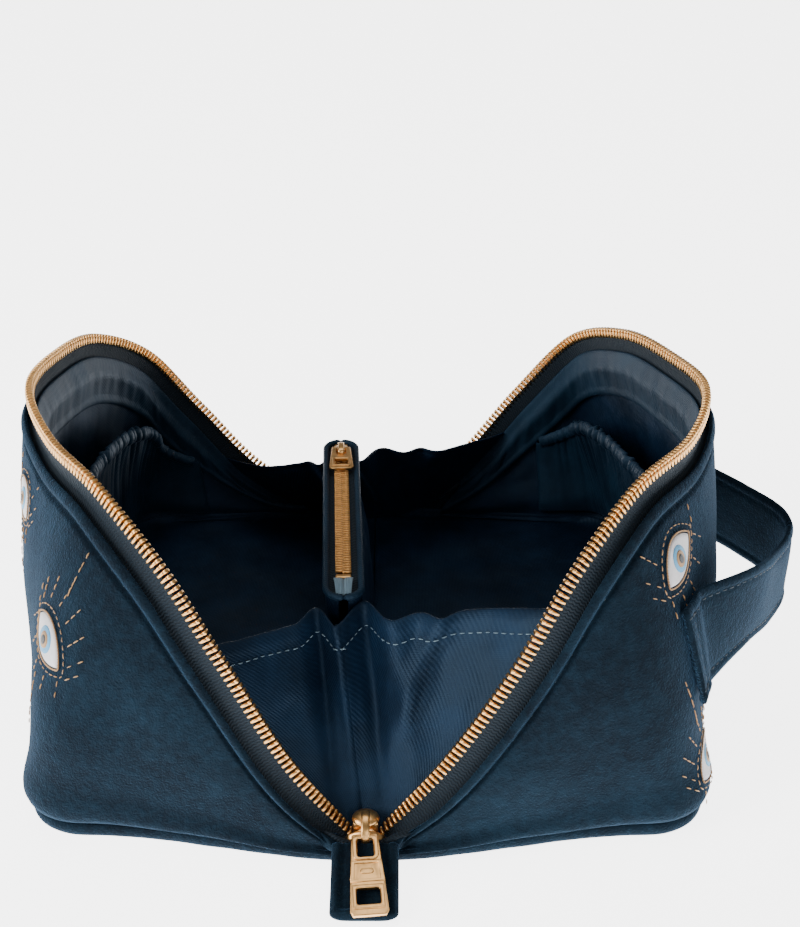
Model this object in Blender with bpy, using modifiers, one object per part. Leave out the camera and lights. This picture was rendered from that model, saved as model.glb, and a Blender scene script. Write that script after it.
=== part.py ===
"""Velvet make-up pouch that opens flat, with a metal zip round its whole rim.

Frame: origin on the table at the middle of the base, +X across the pouch towards
the carrying strap, +Y from the front V of the zip to the rear V, +Z up.  The zip
is fully open.  The two halves fold up about the seam along the base's middle.
Sizes below are in millimetres and become metres when a point is placed.
"""

from math import cos, pi, radians, sin

import bmesh
import bpy
from mathutils import Matrix, Vector

MM = 0.001
GAP = 0.3                      # clearance between neighbouring pieces
CLOTH_GAP = 0.9                # the same between two curved cloth layers

# Cloth layers of a wall, from the outside in
VELVET = 1.4
FOAM = 1.7
LINING = 0.8
TAPE = 0.6

# Zip of the rim
TOOTH_REACH = 3.6              # from the head back over the tape's edge
TOOTH_HEIGHT = 2.8
TAPE_TOP = 4.0                 # from the heads to the tape's bare edge
TAPE_SHOW = 9.0                # from the heads to the velvet's folded edge
TAPE_WIDTH = 16.0              # from the heads to the tape's hidden edge
FACING = (11.0, 26.0)          # from the heads to the facing band's two edges
RIM_START = 0.045              # share of the rim at each V that stays with the base seam

# Lines of the heads of the teeth, from the front V over the side to the rear V
RIM_RIGHT = [(3, -95, 8), (23, -96, 33), (42, -92, 61), (59, -82, 88), (79, -60, 103), (100, -33, 105),
             (111, 0, 107), (105, 33, 105), (93, 64, 101), (76, 90, 88), (55, 98, 61), (33, 96, 34), (6, 91, 9)]
RIM_LEFT = [(3, -95, 8), (21, -96, 32), (38, -92, 61), (56, -82, 88), (78, -60, 103), (98, -33, 105),
            (112, 0, 107), (111, 32, 105), (103, 64, 99), (87, 90, 81), (68, 98, 54), (44, 97, 28), (6, 91, 9)]

# Base outline of one half
BASE_HALF = 104.0
BASE_CORNER = 18.0
BASE_FRONT = 93.0              # depth of the front edge at its corner
BASE_REAR = 90.0
FRONT_BOW = 11.0               # how far the front edge bellies out at the middle
REAR_BOW = 7.0
WALL_BULGE = 5.0
SEAM_HALF = 2.8                # half width of the base's middle seam strip
HALF_START = 3.4               # where each half's base velvet begins
LEAN_START = 6.6               # the same for the layers above it, which lean in as a half folds

# Base layers, from the table up
BASE_VELVET = (0.0, 1.4)
BASE_BOARD = (1.7, 3.7)
BASE_LINING = (4.0, 4.8)

# Divider pocket with its own closed zip
DIVIDER_X = -9.5
DIVIDER_TURN = radians(2.6)
DIVIDER_HALF = 52.0
DIVIDER_TOP = 58.0
DIVIDER_FOOT = 8.0
DIVIDER_PANEL = 1.2
SMALL_CHAIN = 4.4              # width of the closed small chain
SMALL_SPAN = (-38.0, 48.0)     # first and last small tooth along the divider
SMALL_SLIDER_Y = 42.0

# Big slider at the front V
SLIDER_Y = -96.0
SLIDER_Z = (7.0, 19.5)
SLIDER_PLATE = (10.6, 1.5)     # width and thickness
SLIDER_DEPTH = 7.4
PULLER_PIVOT = (-100.87, 11.9)  # Y and Z of its hinge
PULLER_LENGTH = 25.0
PULLER_DROP = radians(17)      # slope of the puller where it lies on the tab

# Carrying strap on the right wall
STRAP_Z = (31.0, 59.0)
STRAP_THICK = 2.6
STRAP_MIDDLE_Y = -3.0
STRAP_SPAN = 62.0              # half distance between its sewn ends
STRAP_SEWN = (-2.0, 2.0, 6.0, 10.0)  # places along its sewn end, past the half distance
STRAP_REACH = 141.0
STRAP_PIVOT = 119.5
STRAP_PIVOT_Z = 48.0
STRAP_CUT = 40.0               # half length of the free part along the pouch
STRAP_ROOM = 2.4               # between the free part and its sewn ends
STRAP_RISE = 9.0               # how much higher the front end is sewn than the crown
STRAP_RISE_Y = (-14.0, -56.0)  # where that rise starts and ends

# Pull tabs at the two ends of the zip: Y and Z from the seam to the table
FRONT_TAB = [(-104.6, 8.4), (-109, 7.2), (-116, 4.4), (-127, 2.4)]
REAR_TAB = [(98.4, 5.4), (104, 4.8), (112, 3.4), (124, 2.4)]
TAB_HALF = 9.6
TAB_THICK = 2.2

COLOURS = {
    "velvet": ((0.020, 0.062, 0.110), 0.85, 0.0),
    "lining": ((0.016, 0.055, 0.115), 0.45, 0.0),
    "foam": ((0.55, 0.55, 0.55), 0.9, 0.0),
    "board": ((0.45, 0.42, 0.36), 0.8, 0.0),
    "tape": ((0.018, 0.045, 0.075), 0.8, 0.0),
    "gold": ((0.72, 0.43, 0.22), 0.28, 1.0),
    "elastic": ((0.02, 0.05, 0.09), 0.7, 0.0),
}


# ---------------------------------------------------------------- helpers

def mm(x, y, z):
    return Vector((x, y, z)) * MM


def clear_scene():
    for old in list(bpy.data.objects):
        bpy.data.objects.remove(old, do_unlink=True)


def material_for(node, kind):
    colour, roughness, metallic = COLOURS[kind]
    made = bpy.data.materials.new(node + "_material")
    made.use_nodes = True
    shader = made.node_tree.nodes["Principled BSDF"]
    shader.inputs["Base Color"].default_value = (*colour, 1.0)
    shader.inputs["Roughness"].default_value = roughness
    shader.inputs["Metallic"].default_value = metallic
    made.diffuse_color = (*colour, 1.0)
    return made


def place(name, data, kind):
    made = bpy.data.objects.new(name, data)
    pouch.objects.link(made)
    data.materials.append(material_for(name, kind))
    return made


def mesh_of(name, bm):
    data = bpy.data.meshes.new(name)
    bm.to_mesh(data)
    bm.free()
    return data


def smooth_line(points, count):
    """Catmull-Rom curve through the points, as count evenly spaced points."""
    ends = [points[0] * 2 - points[1], *points, points[-1] * 2 - points[-2]]
    dense = []
    for a, b, c, d in zip(ends, ends[1:], ends[2:], ends[3:]):
        for step in range(24):
            t = step / 24
            dense.append(0.5 * (2 * b + (c - a) * t + (2 * a - 5 * b + 4 * c - d) * t * t
                                + (3 * b - a - 3 * c + d) * t ** 3))
    dense.append(points[-1].copy())
    return even(dense, count)


def even(line, count):
    """The same line, as count evenly spaced points."""
    lengths = [0.0]
    for a, b in zip(line, line[1:]):
        lengths.append(lengths[-1] + (b - a).length)
    result = []
    i = 0
    for k in range(count):
        want = lengths[-1] * k / (count - 1)
        while i < len(line) - 2 and lengths[i + 1] < want:
            i += 1
        share = (want - lengths[i]) / max(lengths[i + 1] - lengths[i], 1e-9)
        result.append(line[i].lerp(line[i + 1], share))
    return result


def along(line, s):
    place_on = min(max(s, 0.0), 1.0) * (len(line) - 1)
    i = min(int(place_on), len(line) - 2)
    return line[i].lerp(line[i + 1], place_on - i)


def cloth(name, kind, columns, rows, surface, thick, offset=-1.0):
    """A sheet: a grid laid on surface(u, v) for u and v from 0 to 1, then thickened."""
    bm = bmesh.new()
    add_grid(bm, columns, rows, surface)
    made = place(name, mesh_of(name, bm), kind)
    thicken(made, thick, offset)
    return made


def add_grid(bm, columns, rows, surface):
    grid = bmesh.ops.create_grid(bm, x_segments=columns, y_segments=rows, size=0.5)
    for vertex in grid["verts"]:
        vertex.co = surface(vertex.co.x + 0.5, vertex.co.y + 0.5) * MM


def thicken(made, thick, offset):
    solid = made.modifiers.new("thickness", "SOLIDIFY")
    solid.thickness = thick * MM
    solid.offset = offset
    solid.use_even_offset = True


def add_block(bm, size, matrix):
    scale = Matrix.Diagonal((*(Vector(size) * MM), 1.0))
    bmesh.ops.create_cube(bm, size=1.0, matrix=matrix @ scale)


def rounded_block(name, kind, size, centre, bevel):
    bm = bmesh.new()
    add_block(bm, size, Matrix.Translation(mm(*centre)))
    made = place(name, mesh_of(name, bm), kind)
    if bevel:
        edge = made.modifiers.new("edges", "BEVEL")
        edge.width = bevel * MM
        edge.segments = 2
    return made


# ---------------------------------------------------------------- wall geometry

def base_outline():
    """Right half of the base's outline, from the front middle to the rear middle."""
    flat = BASE_HALF - BASE_CORNER
    line = []
    for step in range(25):
        x = flat * step / 24
        line.append(Vector((x, -BASE_FRONT - FRONT_BOW * cos(pi / 2 * x / flat) ** 2, 0)))
    for step in range(1, 13):
        turn = pi / 2 * step / 12
        line.append(Vector((flat + BASE_CORNER * sin(turn), -BASE_FRONT + BASE_CORNER * (1 - cos(turn)), 0)))
    for step in range(13):
        turn = pi / 2 * step / 12
        line.append(Vector((flat + BASE_CORNER * cos(turn), BASE_REAR - BASE_CORNER * (1 - sin(turn)), 0)))
    for step in range(1, 25):
        x = flat * (1 - step / 24)
        line.append(Vector((x, BASE_REAR + REAR_BOW * cos(pi / 2 * x / flat) ** 2, 0)))
    return even(line, 240)


class Half:
    """One half of the pouch: side is 1 on the right and -1 on the left."""

    def __init__(self, name, side, rim_points):
        self.name = name
        self.side = side
        self.rim = smooth_line([Vector(p) for p in rim_points], 240)
        self.base = base_outline()

    def down(self, s):
        """Unit direction from the rim down the cloth, square to the rim."""
        tangent = (along(self.rim, s + 0.01) - along(self.rim, s - 0.01)).normalized()
        fall = along(self.base, s) - along(self.rim, s)
        return (fall - fall.dot(tangent) * tangent).normalized()

    def out(self, s):
        """Unit direction out of the cloth at the rim."""
        tangent = along(self.rim, s + 0.01) - along(self.rim, s - 0.01)
        return self.down(s).cross(tangent).normalized()

    def wall_point(self, s, t):
        foot = along(self.base, s) + Vector((0, 0, BASE_VELVET[1] + GAP))
        edge = along(self.rim, s) + self.down(s) * TAPE_SHOW
        edge.z = max(edge.z, BASE_VELVET[1] + 3.0)
        point = foot.lerp(edge, t)
        belly = WALL_BULGE * sin(pi * min(t, 1.0)) * sin(pi * min(max(s, 0), 1)) ** 0.5
        return point + self.out(s) * belly

    def wall(self, s, t, depth):
        """A point of the wall, depth millimetres in from the velvet's face."""
        e = 0.01
        lo, hi = max(s - e, 0.0), min(s + e, 1.0)
        down, up = max(t - e, 0.0), min(t + e, 1.0)
        across = self.wall_point(hi, t) - self.wall_point(lo, t)
        rise = self.wall_point(s, up) - self.wall_point(s, down)
        normal = across.cross(rise).normalized()
        point = self.wall_point(s, t) - normal * depth
        point.z = max(point.z, BASE_VELVET[1] + GAP)
        return point

    def share_below(self, s, drop):
        """Height share of the wall at drop millimetres from the heads."""
        column = (self.wall_point(s, 1.0) - self.wall_point(s, 0.0)).length
        return 1 - (drop - TAPE_SHOW) / column

    def band(self, s, drop, depth):
        """A point beside the rim, drop millimetres down the cloth from the heads."""
        return along(self.rim, s) + self.down(s) * drop - self.out(s) * depth

    def mirrored(self, point):
        return Vector((point.x * self.side, point.y, point.z))

    def sheet(self, label, kind, columns, rows, surface, thick, span=(0.0, 1.0)):
        """A cloth sheet that runs from the front V to the rear V of this half."""

        def laid(u, v):
            s = u if self.side > 0 else 1 - u
            return self.mirrored(surface(span[0] + (span[1] - span[0]) * s, v))

        return cloth(self.name + "_" + label, kind, columns, rows, laid, thick)


def velvet_shell(half):
    half.sheet("velvet_shell", "velvet", 44, 6, lambda s, v: half.wall(s, v, 0), VELVET, (0.03, 0.97))


def foam_layer(half):
    depth = VELVET + CLOTH_GAP

    def surface(s, v):
        return half.wall(s, 0.02 + v * (half.share_below(s, TAPE_WIDTH + 3.0) - 0.02), depth)

    half.sheet("foam_layer", "foam", 36, 5, surface, FOAM, (0.07, 0.90))


def lining(half):
    depth = VELVET + FOAM + 2 * CLOTH_GAP

    def surface(s, v):
        return half.wall(s, v * half.share_below(s, TAPE_SHOW + 1.0), depth)

    half.sheet("lining", "lining", 36, 5, surface, LINING, (0.07, 0.93))


def facing_band(half):
    depth = VELVET + FOAM + LINING + 3 * CLOTH_GAP

    def surface(s, v):
        return half.wall(s, half.share_below(s, FACING[1] + (FACING[0] - FACING[1]) * v), depth)

    half.sheet("facing_band", "lining", 40, 1, surface, LINING, (0.10, 0.90))


def zip_tape(half):
    """Bare cloth beside the teeth, whose far edge is tucked between velvet and lining."""
    depth = VELVET + GAP

    def surface(s, v):
        drop = TAPE_WIDTH + (TAPE_TOP - TAPE_WIDTH) * v
        if drop > TAPE_SHOW:
            return half.wall(s, half.share_below(s, drop), VELVET + CLOTH_GAP)
        return half.band(s, drop, depth)

    half.sheet("zip_tape", "tape", 60, 3, surface, TAPE, (RIM_START, 1 - 1.3 * RIM_START))


def zip_teeth(half):
    """The row of teeth, whose heads lie on the rim's line, as one joined bar."""
    depth = VELVET + GAP + TAPE / 2 - TOOTH_HEIGHT / 2

    def surface(s, v):
        return half.band(s, TOOTH_REACH * (1 - v), depth)

    half.sheet("zip_teeth", "gold", 72, 1, surface, TOOTH_HEIGHT, (RIM_START, 1 - RIM_START))


def base_plate(half, label, kind, heights, inset, start):
    """A flat layer of the base from x = start: the outline drawn in by inset and raised."""
    inner = [p for p in half.base if p.x > start]
    line = [Vector((start, -BASE_FRONT - FRONT_BOW + inset, 0))]
    for p in inner[::5]:
        scale_x = (BASE_HALF - inset) / BASE_HALF
        scale_y = 1 - inset / BASE_REAR
        line.append(Vector((max(p.x * scale_x, start + 0.5), p.y * scale_y, 0)))
    line.append(Vector((start, BASE_REAR + REAR_BOW - inset, 0)))
    bm = bmesh.new()
    corners = [bm.verts.new(half.mirrored(p) * MM) for p in line]
    face = bm.faces.new(corners)
    bmesh.ops.recalc_face_normals(bm, faces=[face])
    if face.normal.z < 0:
        bmesh.ops.reverse_faces(bm, faces=[face])
    bmesh.ops.translate(bm, verts=bm.verts, vec=mm(0, 0, heights[1]))
    name = half.name + "_" + label
    made = place(name, mesh_of(name, bm), kind)
    thicken(made, heights[1] - heights[0], -1.0)


def elastic_pocket(half):
    """A gathered pocket on the side wall: sewn at its foot and ends, slack at its mouth."""
    foot_t, mouth_t = 0.10, 0.68
    ends = (0.36, 0.64)
    near = VELVET + FOAM + 2 * LINING + 4 * CLOTH_GAP

    def surface(s, v):
        slack = sin(pi * (s - ends[0]) / (ends[1] - ends[0]))
        return half.wall(s, foot_t + (mouth_t - foot_t) * v, near + 13.0 * slack ** 0.6 * (0.35 + 0.65 * v))

    half.sheet("elastic_pocket", "lining", 18, 4, surface, LINING, ends)

    def band(s, v):
        slack = sin(pi * (s - ends[0]) / (ends[1] - ends[0]))
        depth = near + LINING + GAP + 13.0 * slack ** 0.6
        return half.wall(s, mouth_t - 0.06 + 0.05 * v, depth)

    half.sheet("pocket_elastic", "elastic", 18, 1, band, LINING, (ends[0] + 0.01, ends[1] - 0.01))


# ---------------------------------------------------------------- base seam, zip ends and tabs

def base_center_strip():
    front, rear = -BASE_FRONT - FRONT_BOW + 1, BASE_REAR + REAR_BOW - 1
    size = (2 * SEAM_HALF, rear - front, 1.0)
    rounded_block("base_center_strip", "velvet", size, (0, (front + rear) / 2, 0.5), 0)


def zip_stops():
    rounded_block("zip_bottom_stop", "gold", (6.0, 2.6, 2.2), (0, SLIDER_Y, 4.6), 0.4)
    for side, label in ((1, "right"), (-1, "left")):
        rounded_block(label + "_zip_top_stop", "gold", (2.6, 3.0, 3.4), (3.2 * side, 91, 10), 0.3)


def lower_chain():
    """The few closed teeth that stay inside the slider's channel, as one bar."""
    tall = SLIDER_Z[1] - SLIDER_Z[0] - 3.4
    rounded_block("zip_lower_teeth", "gold", (6.0, 2.2, tall), (0, SLIDER_Y, SLIDER_Z[0] + 0.6 + tall / 2), 0)


def pull_tab(name, way, points):
    """A velvet tab that leaves one end of the zip and comes down to the table; way is -1 at the front."""
    path = smooth_line([Vector((0, y, z)) for y, z in points], 13)

    def surface(u, v):
        point = along(path, u)
        half_width = TAB_HALF * min(1.0, (1.0 - u + 0.002) * 6.0) ** 0.5
        return Vector((half_width * (1 - 2 * v) * way, point.y, point.z))

    cloth(name, "velvet", 16, 4, surface, TAB_THICK)


# ---------------------------------------------------------------- gussets

def gusset(name, halves, reach, foot, top):
    """A lining panel across a V: two leaves from the tapes to a fold in the middle.

    reach holds the shares of the rim at the foot and at the hem, and foot and top
    are the two ends of the fold.
    """
    fold = [Vector(foot), Vector(top)]
    edges = {}
    for half in halves:
        def edge(v, half=half):
            return half.mirrored(half.band(reach[0] + (reach[1] - reach[0]) * v, 7.0, 5.2))
        edges[half.side] = edge

    def surface(u, v):
        side = 1 if (u > 0.5) == (fold[0].y < 0) else -1
        share = abs(2 * u - 1)
        return fold[0].lerp(fold[1], v).lerp(edges[side](v), share)

    cloth(name, "lining", 20, 6, surface, 1.0, 0.0)


def gussets(halves):
    gusset("front_gusset", halves, (0.055, 0.215), (0, -87, 10), (-8, -58, 57))
    gusset("rear_gusset", halves, (0.935, 0.80), (0, 83, 10), (-12, 58, 56))


# ---------------------------------------------------------------- divider pocket

def divider_frame():
    """The divider's own frame: its zip runs along Y, turned a little about Z."""
    holder = bpy.data.objects.new("divider_frame", None)
    pouch.objects.link(holder)
    holder.location = mm(DIVIDER_X, 0, 0)
    holder.rotation_euler = (0, 0, DIVIDER_TURN)
    return holder


def attach(holder, *pieces):
    for piece in pieces:
        piece.parent = holder


def divider(holder):
    foot_x = -DIVIDER_X

    def panel(side):
        def surface(u, v):
            y = DIVIDER_HALF * (2 * u - 1)
            width = 1.6 + (5.8 - 1.6) * min(1.0, v * 1.6) ** 0.8
            middle = foot_x * (1 - v) ** 1.3
            height = DIVIDER_FOOT + (DIVIDER_TOP - DIVIDER_FOOT) * v
            shorten = 1 - 0.06 * (1 - v)
            return Vector((middle + side * width, y * shorten * side, height))
        return surface

    right = cloth("divider_right_panel", "lining", 12, 8, panel(1), DIVIDER_PANEL)
    left = cloth("divider_left_panel", "lining", 12, 8, panel(-1), DIVIDER_PANEL)

    middle = (SMALL_SPAN[0] + SMALL_SPAN[1]) / 2
    length = SMALL_SPAN[1] - SMALL_SPAN[0]
    zip_z = DIVIDER_TOP + 1.2
    teeth = rounded_block("divider_zip_teeth", "gold", (SMALL_CHAIN, length, 1.5), (0, middle, zip_z), 0)
    for side, label in ((1, "right"), (-1, "left")):
        tape = rounded_block("divider_" + label + "_tape", "tape", (2.8, length + 8, 0.6), (3.9 * side, middle, zip_z), 0)
        attach(holder, tape)

    stop_y = SMALL_SPAN[0] - 2.4
    front = rounded_block("divider_front_stop", "gold", (4.4, 1.8, 1.8), (0, stop_y, DIVIDER_TOP + 1.2), 0.3)
    rear = rounded_block("divider_rear_stop", "gold", (4.4, 1.4, 1.8), (0, SMALL_SPAN[1] + 2.2, DIVIDER_TOP + 1.2), 0.3)

    attach(holder, right, left, teeth, front, rear)
    for side, label in ((1, "right"), (-1, "left")):
        piping = cord("divider_" + label + "_piping", "lining",
                      [(7.2 * side, -DIVIDER_HALF, DIVIDER_TOP + 1.6), (7.2 * side, 0, DIVIDER_TOP + 1.6),
                       (7.2 * side, DIVIDER_HALF, DIVIDER_TOP + 1.6)], 1.3)
        attach(holder, piping)


def cord(name, kind, points, radius):
    """A round cord of the given radius along a straight or bent route."""
    curve = bpy.data.curves.new(name, "CURVE")
    curve.dimensions = "3D"
    curve.bevel_depth = radius * MM
    curve.bevel_resolution = 1
    curve.use_fill_caps = True
    spline = curve.splines.new("POLY")
    spline.points.add(len(points) - 1)
    for spot, point in zip(spline.points, points):
        spot.co = (*mm(*point), 1.0)
    return place(name, curve, kind)


# ---------------------------------------------------------------- sliders and pullers

def union_blocks(name, kind, blocks):
    """Overlapping blocks (size, centre) joined into one body."""
    bm = bmesh.new()
    add_block(bm, blocks[0][0], Matrix.Translation(mm(*blocks[0][1])))
    made = place(name, mesh_of(name, bm), kind)
    for i, (size, centre) in enumerate(blocks[1:]):
        tool_bm = bmesh.new()
        add_block(tool_bm, size, Matrix.Translation(mm(*centre)))
        tool = bpy.data.objects.new(f"{name}_join_{i}", mesh_of(f"{name}_join_{i}", tool_bm))
        cutters.objects.link(tool)
        tool.hide_render = True
        tool.display_type = "WIRE"
        join = made.modifiers.new("join", "BOOLEAN")
        join.operation = "UNION"
        join.object = tool
    return made


def main_slider():
    """Two plates joined by a wedge above the teeth, and a bail on the front plate."""
    width, plate = SLIDER_PLATE
    low, high = SLIDER_Z
    middle, tall = (low + high) / 2, high - low
    front_y = -SLIDER_DEPTH / 2 + plate / 2
    blocks = [((width, plate, tall), (0, front_y, 0)),
              ((width, plate, tall), (0, -front_y, 0)),
              ((2.6, SLIDER_DEPTH - 1.0, 2.4), (0, 0, tall / 2 - 1.25)),
              ((3.2, 3.6, 2.0), (0, front_y - 2.2, 3.4)),
              ((3.2, 3.6, 2.0), (0, front_y - 2.2, -3.4)),
              ((3.2, 1.4, 8.8), (0, front_y - 3.8, 0))]
    made = union_blocks("main_slider_body", "gold", blocks)
    shift = mm(0, SLIDER_Y, middle)
    made.location = shift
    for tool in cutters.objects:
        if tool.name.startswith("main_slider_body"):
            tool.location = shift


def puller_plate(name, length, wide, narrow, thick, windows):
    """A tapered flat plate along -Y from its pivot bar, with rectangular windows."""
    curve = bpy.data.curves.new(name, "CURVE")
    curve.dimensions = "2D"
    curve.fill_mode = "BOTH"
    curve.extrude = thick / 2 * MM
    top = thick / 2
    outline = [(-narrow / 2, top), (-narrow / 2 - 0.4, -3.0), (-wide / 2, -length + 1.2), (-wide / 2 + 1.0, -length),
               (wide / 2 - 1.0, -length), (wide / 2, -length + 1.2), (narrow / 2 + 0.4, -3.0), (narrow / 2, top)]
    holes = [[(-w / 2, y0), (w / 2, y0), (w / 2, y1), (-w / 2, y1)] for w, y0, y1 in windows]
    for ring in [outline, *holes]:
        spline = curve.splines.new("POLY")
        spline.points.add(len(ring) - 1)
        for spot, (x, y) in zip(spline.points, ring):
            spot.co = (x * MM, y * MM, 0, 1)
        spline.use_cyclic_u = True
    return place(name, curve, "gold")


def main_puller():
    """Lies down the front tab; its pivot is inside the slider's bail."""
    made = puller_plate("main_puller", PULLER_LENGTH, 10.8, 7.6, 1.4, ((4.2, -0.7, -6.8), (6.4, -16.2, -22.0)))
    made.location = mm(0, *PULLER_PIVOT)
    made.rotation_euler = (PULLER_DROP, 0, 0)


def divider_slider(holder):
    """The small slider at the rear end of the divider's zip, and its puller."""
    z = DIVIDER_TOP + 1.2
    blocks = [((7.0, 8.0, 0.9), (0, 0, 1.6)),
              ((0.7, 8.0, 1.2), (3.4, 0, 1.0)), ((0.7, 8.0, 1.2), (-3.4, 0, 1.0)),
              ((2.0, 1.2, 2.2), (0, 2.6, 2.9)), ((2.0, 1.2, 2.2), (0, -2.6, 2.9)), ((2.0, 6.4, 0.9), (0, 0, 4.2))]
    made = union_blocks("divider_slider_body", "gold", blocks)
    made.location = mm(0, SMALL_SLIDER_Y, z)
    attach(holder, made)
    for tool in cutters.objects:
        if tool.name.startswith("divider_slider_body"):
            tool.location = made.location
            attach(holder, tool)
    puller = puller_plate("divider_puller", 15.0, 8.6, 6.6, 1.0, ((3.4, -0.5, -5.1), (4.6, -7.6, -12.4)))
    puller.location = mm(0, SMALL_SLIDER_Y + 1.2, z + 3.0)
    puller.rotation_euler = (radians(2), 0, 0)
    attach(holder, puller)


# ---------------------------------------------------------------- carrying strap

def spot_beside_wall(half, y, z, stand):
    """The point that stands off a half's velvet face by stand, at the given y and z."""
    best = None
    for step in range(401):
        s = 0.2 + 0.6 * step / 400
        foot, edge = half.wall_point(s, 0.0), half.wall_point(s, 1.0)
        point = half.wall(s, (z - foot.z) / (edge.z - foot.z), -stand)
        if best is None or abs(point.y - y) < abs(best.y - y):
            best = point
    return best


def strap_rise(y):
    share = min(max((y - STRAP_RISE_Y[0]) / (STRAP_RISE_Y[1] - STRAP_RISE_Y[0]), 0.0), 1.0)
    return STRAP_RISE * share * share * (3 - 2 * share)


def strap_line(half, z):
    """One edge of the strap at height z: an arch that stands off the right wall."""
    y = STRAP_MIDDLE_Y
    stand = STRAP_THICK / 2 + 2.5 * CLOTH_GAP
    front, rear = ([spot_beside_wall(half, y + way * (STRAP_SPAN + step), z + rise, stand) for step in STRAP_SEWN]
                   for way, rise in ((-1, STRAP_RISE), (1, 0.0)))
    arch = [(119.5, y - 42), (131, y - 23), (138.8, y - 8), (STRAP_REACH, y + 2), (138.8, y + 12),
            (131, y + 25), (119.5, y + 42)]
    points = front[::-1] + [Vector((x, v, z)) for x, v in arch] + rear
    return smooth_line([Vector((p.x, p.y, z + strap_rise(p.y))) for p in points], 121)


def strap_piece(name, kind, edges, low, high, columns):
    """The stretch of the strap between y = low and y = high."""
    ends = [(share_at(edge, low), share_at(edge, high)) for edge in edges]

    def surface(u, v):
        rows = [along(edge, a + (b - a) * u) for edge, (a, b) in zip(edges, ends)]
        return rows[0].lerp(rows[1], v)

    return cloth(name, kind, columns, 2, surface, STRAP_THICK, 0.0)


def share_at(line, y):
    """Share along the line at which it passes the given y."""
    for k, (a, b) in enumerate(zip(line, line[1:])):
        if a.y <= y <= b.y:
            return (k + (y - a.y) / (b.y - a.y)) / (len(line) - 1)
    return 0.0 if y < line[0].y else 1.0


def handle(half):
    edges = [strap_line(half, z) for z in STRAP_Z]
    front, rear = STRAP_MIDDLE_Y - STRAP_CUT, STRAP_MIDDLE_Y + STRAP_CUT
    free = strap_piece("handle_strap", "velvet", edges, front, rear, 24)
    strap_piece("handle_front_end", "velvet", edges, -BASE_HALF, front - STRAP_ROOM, 8)
    strap_piece("handle_rear_end", "velvet", edges, rear + STRAP_ROOM, BASE_HALF, 8)
    pivot = mm(STRAP_PIVOT, 0, STRAP_PIVOT_Z)
    free.data.transform(Matrix.Translation(-pivot))
    free.location = pivot


# ---------------------------------------------------------------- assembly

clear_scene()
pouch = bpy.data.collections.new("open_flat_pouch")
cutters = bpy.data.collections.new("joining_blocks")
bpy.context.scene.collection.children.link(pouch)
bpy.context.scene.collection.children.link(cutters)

halves = (Half("right", 1, RIM_RIGHT), Half("left", -1, RIM_LEFT))
for half in halves:
    velvet_shell(half)
    foam_layer(half)
    lining(half)
    facing_band(half)
    zip_tape(half)
    zip_teeth(half)
    base_plate(half, "base_velvet", "velvet", BASE_VELVET, 0, HALF_START)
    base_plate(half, "base_board", "board", BASE_BOARD, 7.0, LEAN_START)
    base_plate(half, "base_lining", "lining", BASE_LINING, 12.5, LEAN_START)
    elastic_pocket(half)

base_center_strip()
zip_stops()
lower_chain()
pull_tab("front_tab", -1, FRONT_TAB)
pull_tab("rear_tab", 1, REAR_TAB)
gussets(halves)
frame_holder = divider_frame()
divider(frame_holder)
divider_slider(frame_holder)
main_slider()
main_puller()
handle(halves[0])
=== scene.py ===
"""Looks of the velvet make-up pouch: cloth, zips, embroidery, strap, light and camera.

Every piece is worked out in millimetres on the same wall surface as the model and
becomes metres when its mesh is made.
"""

from math import cos, exp, pi, radians, sin, sqrt

import bmesh
import bpy
from mathutils import Matrix, Vector, noise


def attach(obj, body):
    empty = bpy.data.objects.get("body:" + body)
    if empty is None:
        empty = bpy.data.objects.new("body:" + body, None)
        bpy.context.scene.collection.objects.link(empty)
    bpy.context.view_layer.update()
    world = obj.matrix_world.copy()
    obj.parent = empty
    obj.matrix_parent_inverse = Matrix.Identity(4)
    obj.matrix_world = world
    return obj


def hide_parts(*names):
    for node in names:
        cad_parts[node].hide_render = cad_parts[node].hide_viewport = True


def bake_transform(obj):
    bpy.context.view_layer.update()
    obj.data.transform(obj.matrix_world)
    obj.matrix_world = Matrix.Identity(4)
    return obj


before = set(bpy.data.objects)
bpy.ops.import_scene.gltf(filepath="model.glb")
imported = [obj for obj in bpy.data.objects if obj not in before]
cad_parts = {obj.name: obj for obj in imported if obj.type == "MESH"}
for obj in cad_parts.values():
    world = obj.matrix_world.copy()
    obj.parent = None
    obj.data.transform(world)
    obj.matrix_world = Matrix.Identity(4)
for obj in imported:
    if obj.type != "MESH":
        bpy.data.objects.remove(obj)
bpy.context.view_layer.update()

MM = 0.001
UP = Vector((0, 0, 1))

# Rim lines of the two halves: the heads of the teeth, front V to rear V
RIM = {
    1: [(3, -95, 8), (23, -96, 33), (42, -92, 61), (59, -82, 88), (79, -60, 103), (100, -33, 105),
        (111, 0, 107), (105, 33, 105), (93, 64, 101), (76, 90, 88), (55, 98, 61), (33, 96, 34), (6, 91, 9)],
    -1: [(3, -95, 8), (21, -96, 32), (38, -92, 61), (56, -82, 88), (78, -60, 103), (98, -33, 105),
         (112, 0, 107), (111, 32, 105), (103, 64, 99), (87, 90, 81), (68, 98, 54), (44, 97, 28), (6, 91, 9)],
}
NAME = {1: "right", -1: "left"}

# Base outline
BASE_HALF = 104.0
BASE_CORNER = 18.0
BASE_FRONT = 93.0
BASE_REAR = 90.0
FRONT_BOW = 11.0
REAR_BOW = 7.0
WALL_BULGE = 8.0

# Cloth layers, as depths in from the velvet's face
TAPE_DEPTH = 1.9
LINING_DEPTH = 5.4
FACING_DEPTH = 6.5

# Rim zip
TOOTH_PITCH = 1.85
TAPE_SHOW = 9.0

DIVIDER_X = -9.5
DIVIDER_TURN = radians(2.6)
DIVIDER_HALF = 52.0
DIVIDER_TOP = 58.0

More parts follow.
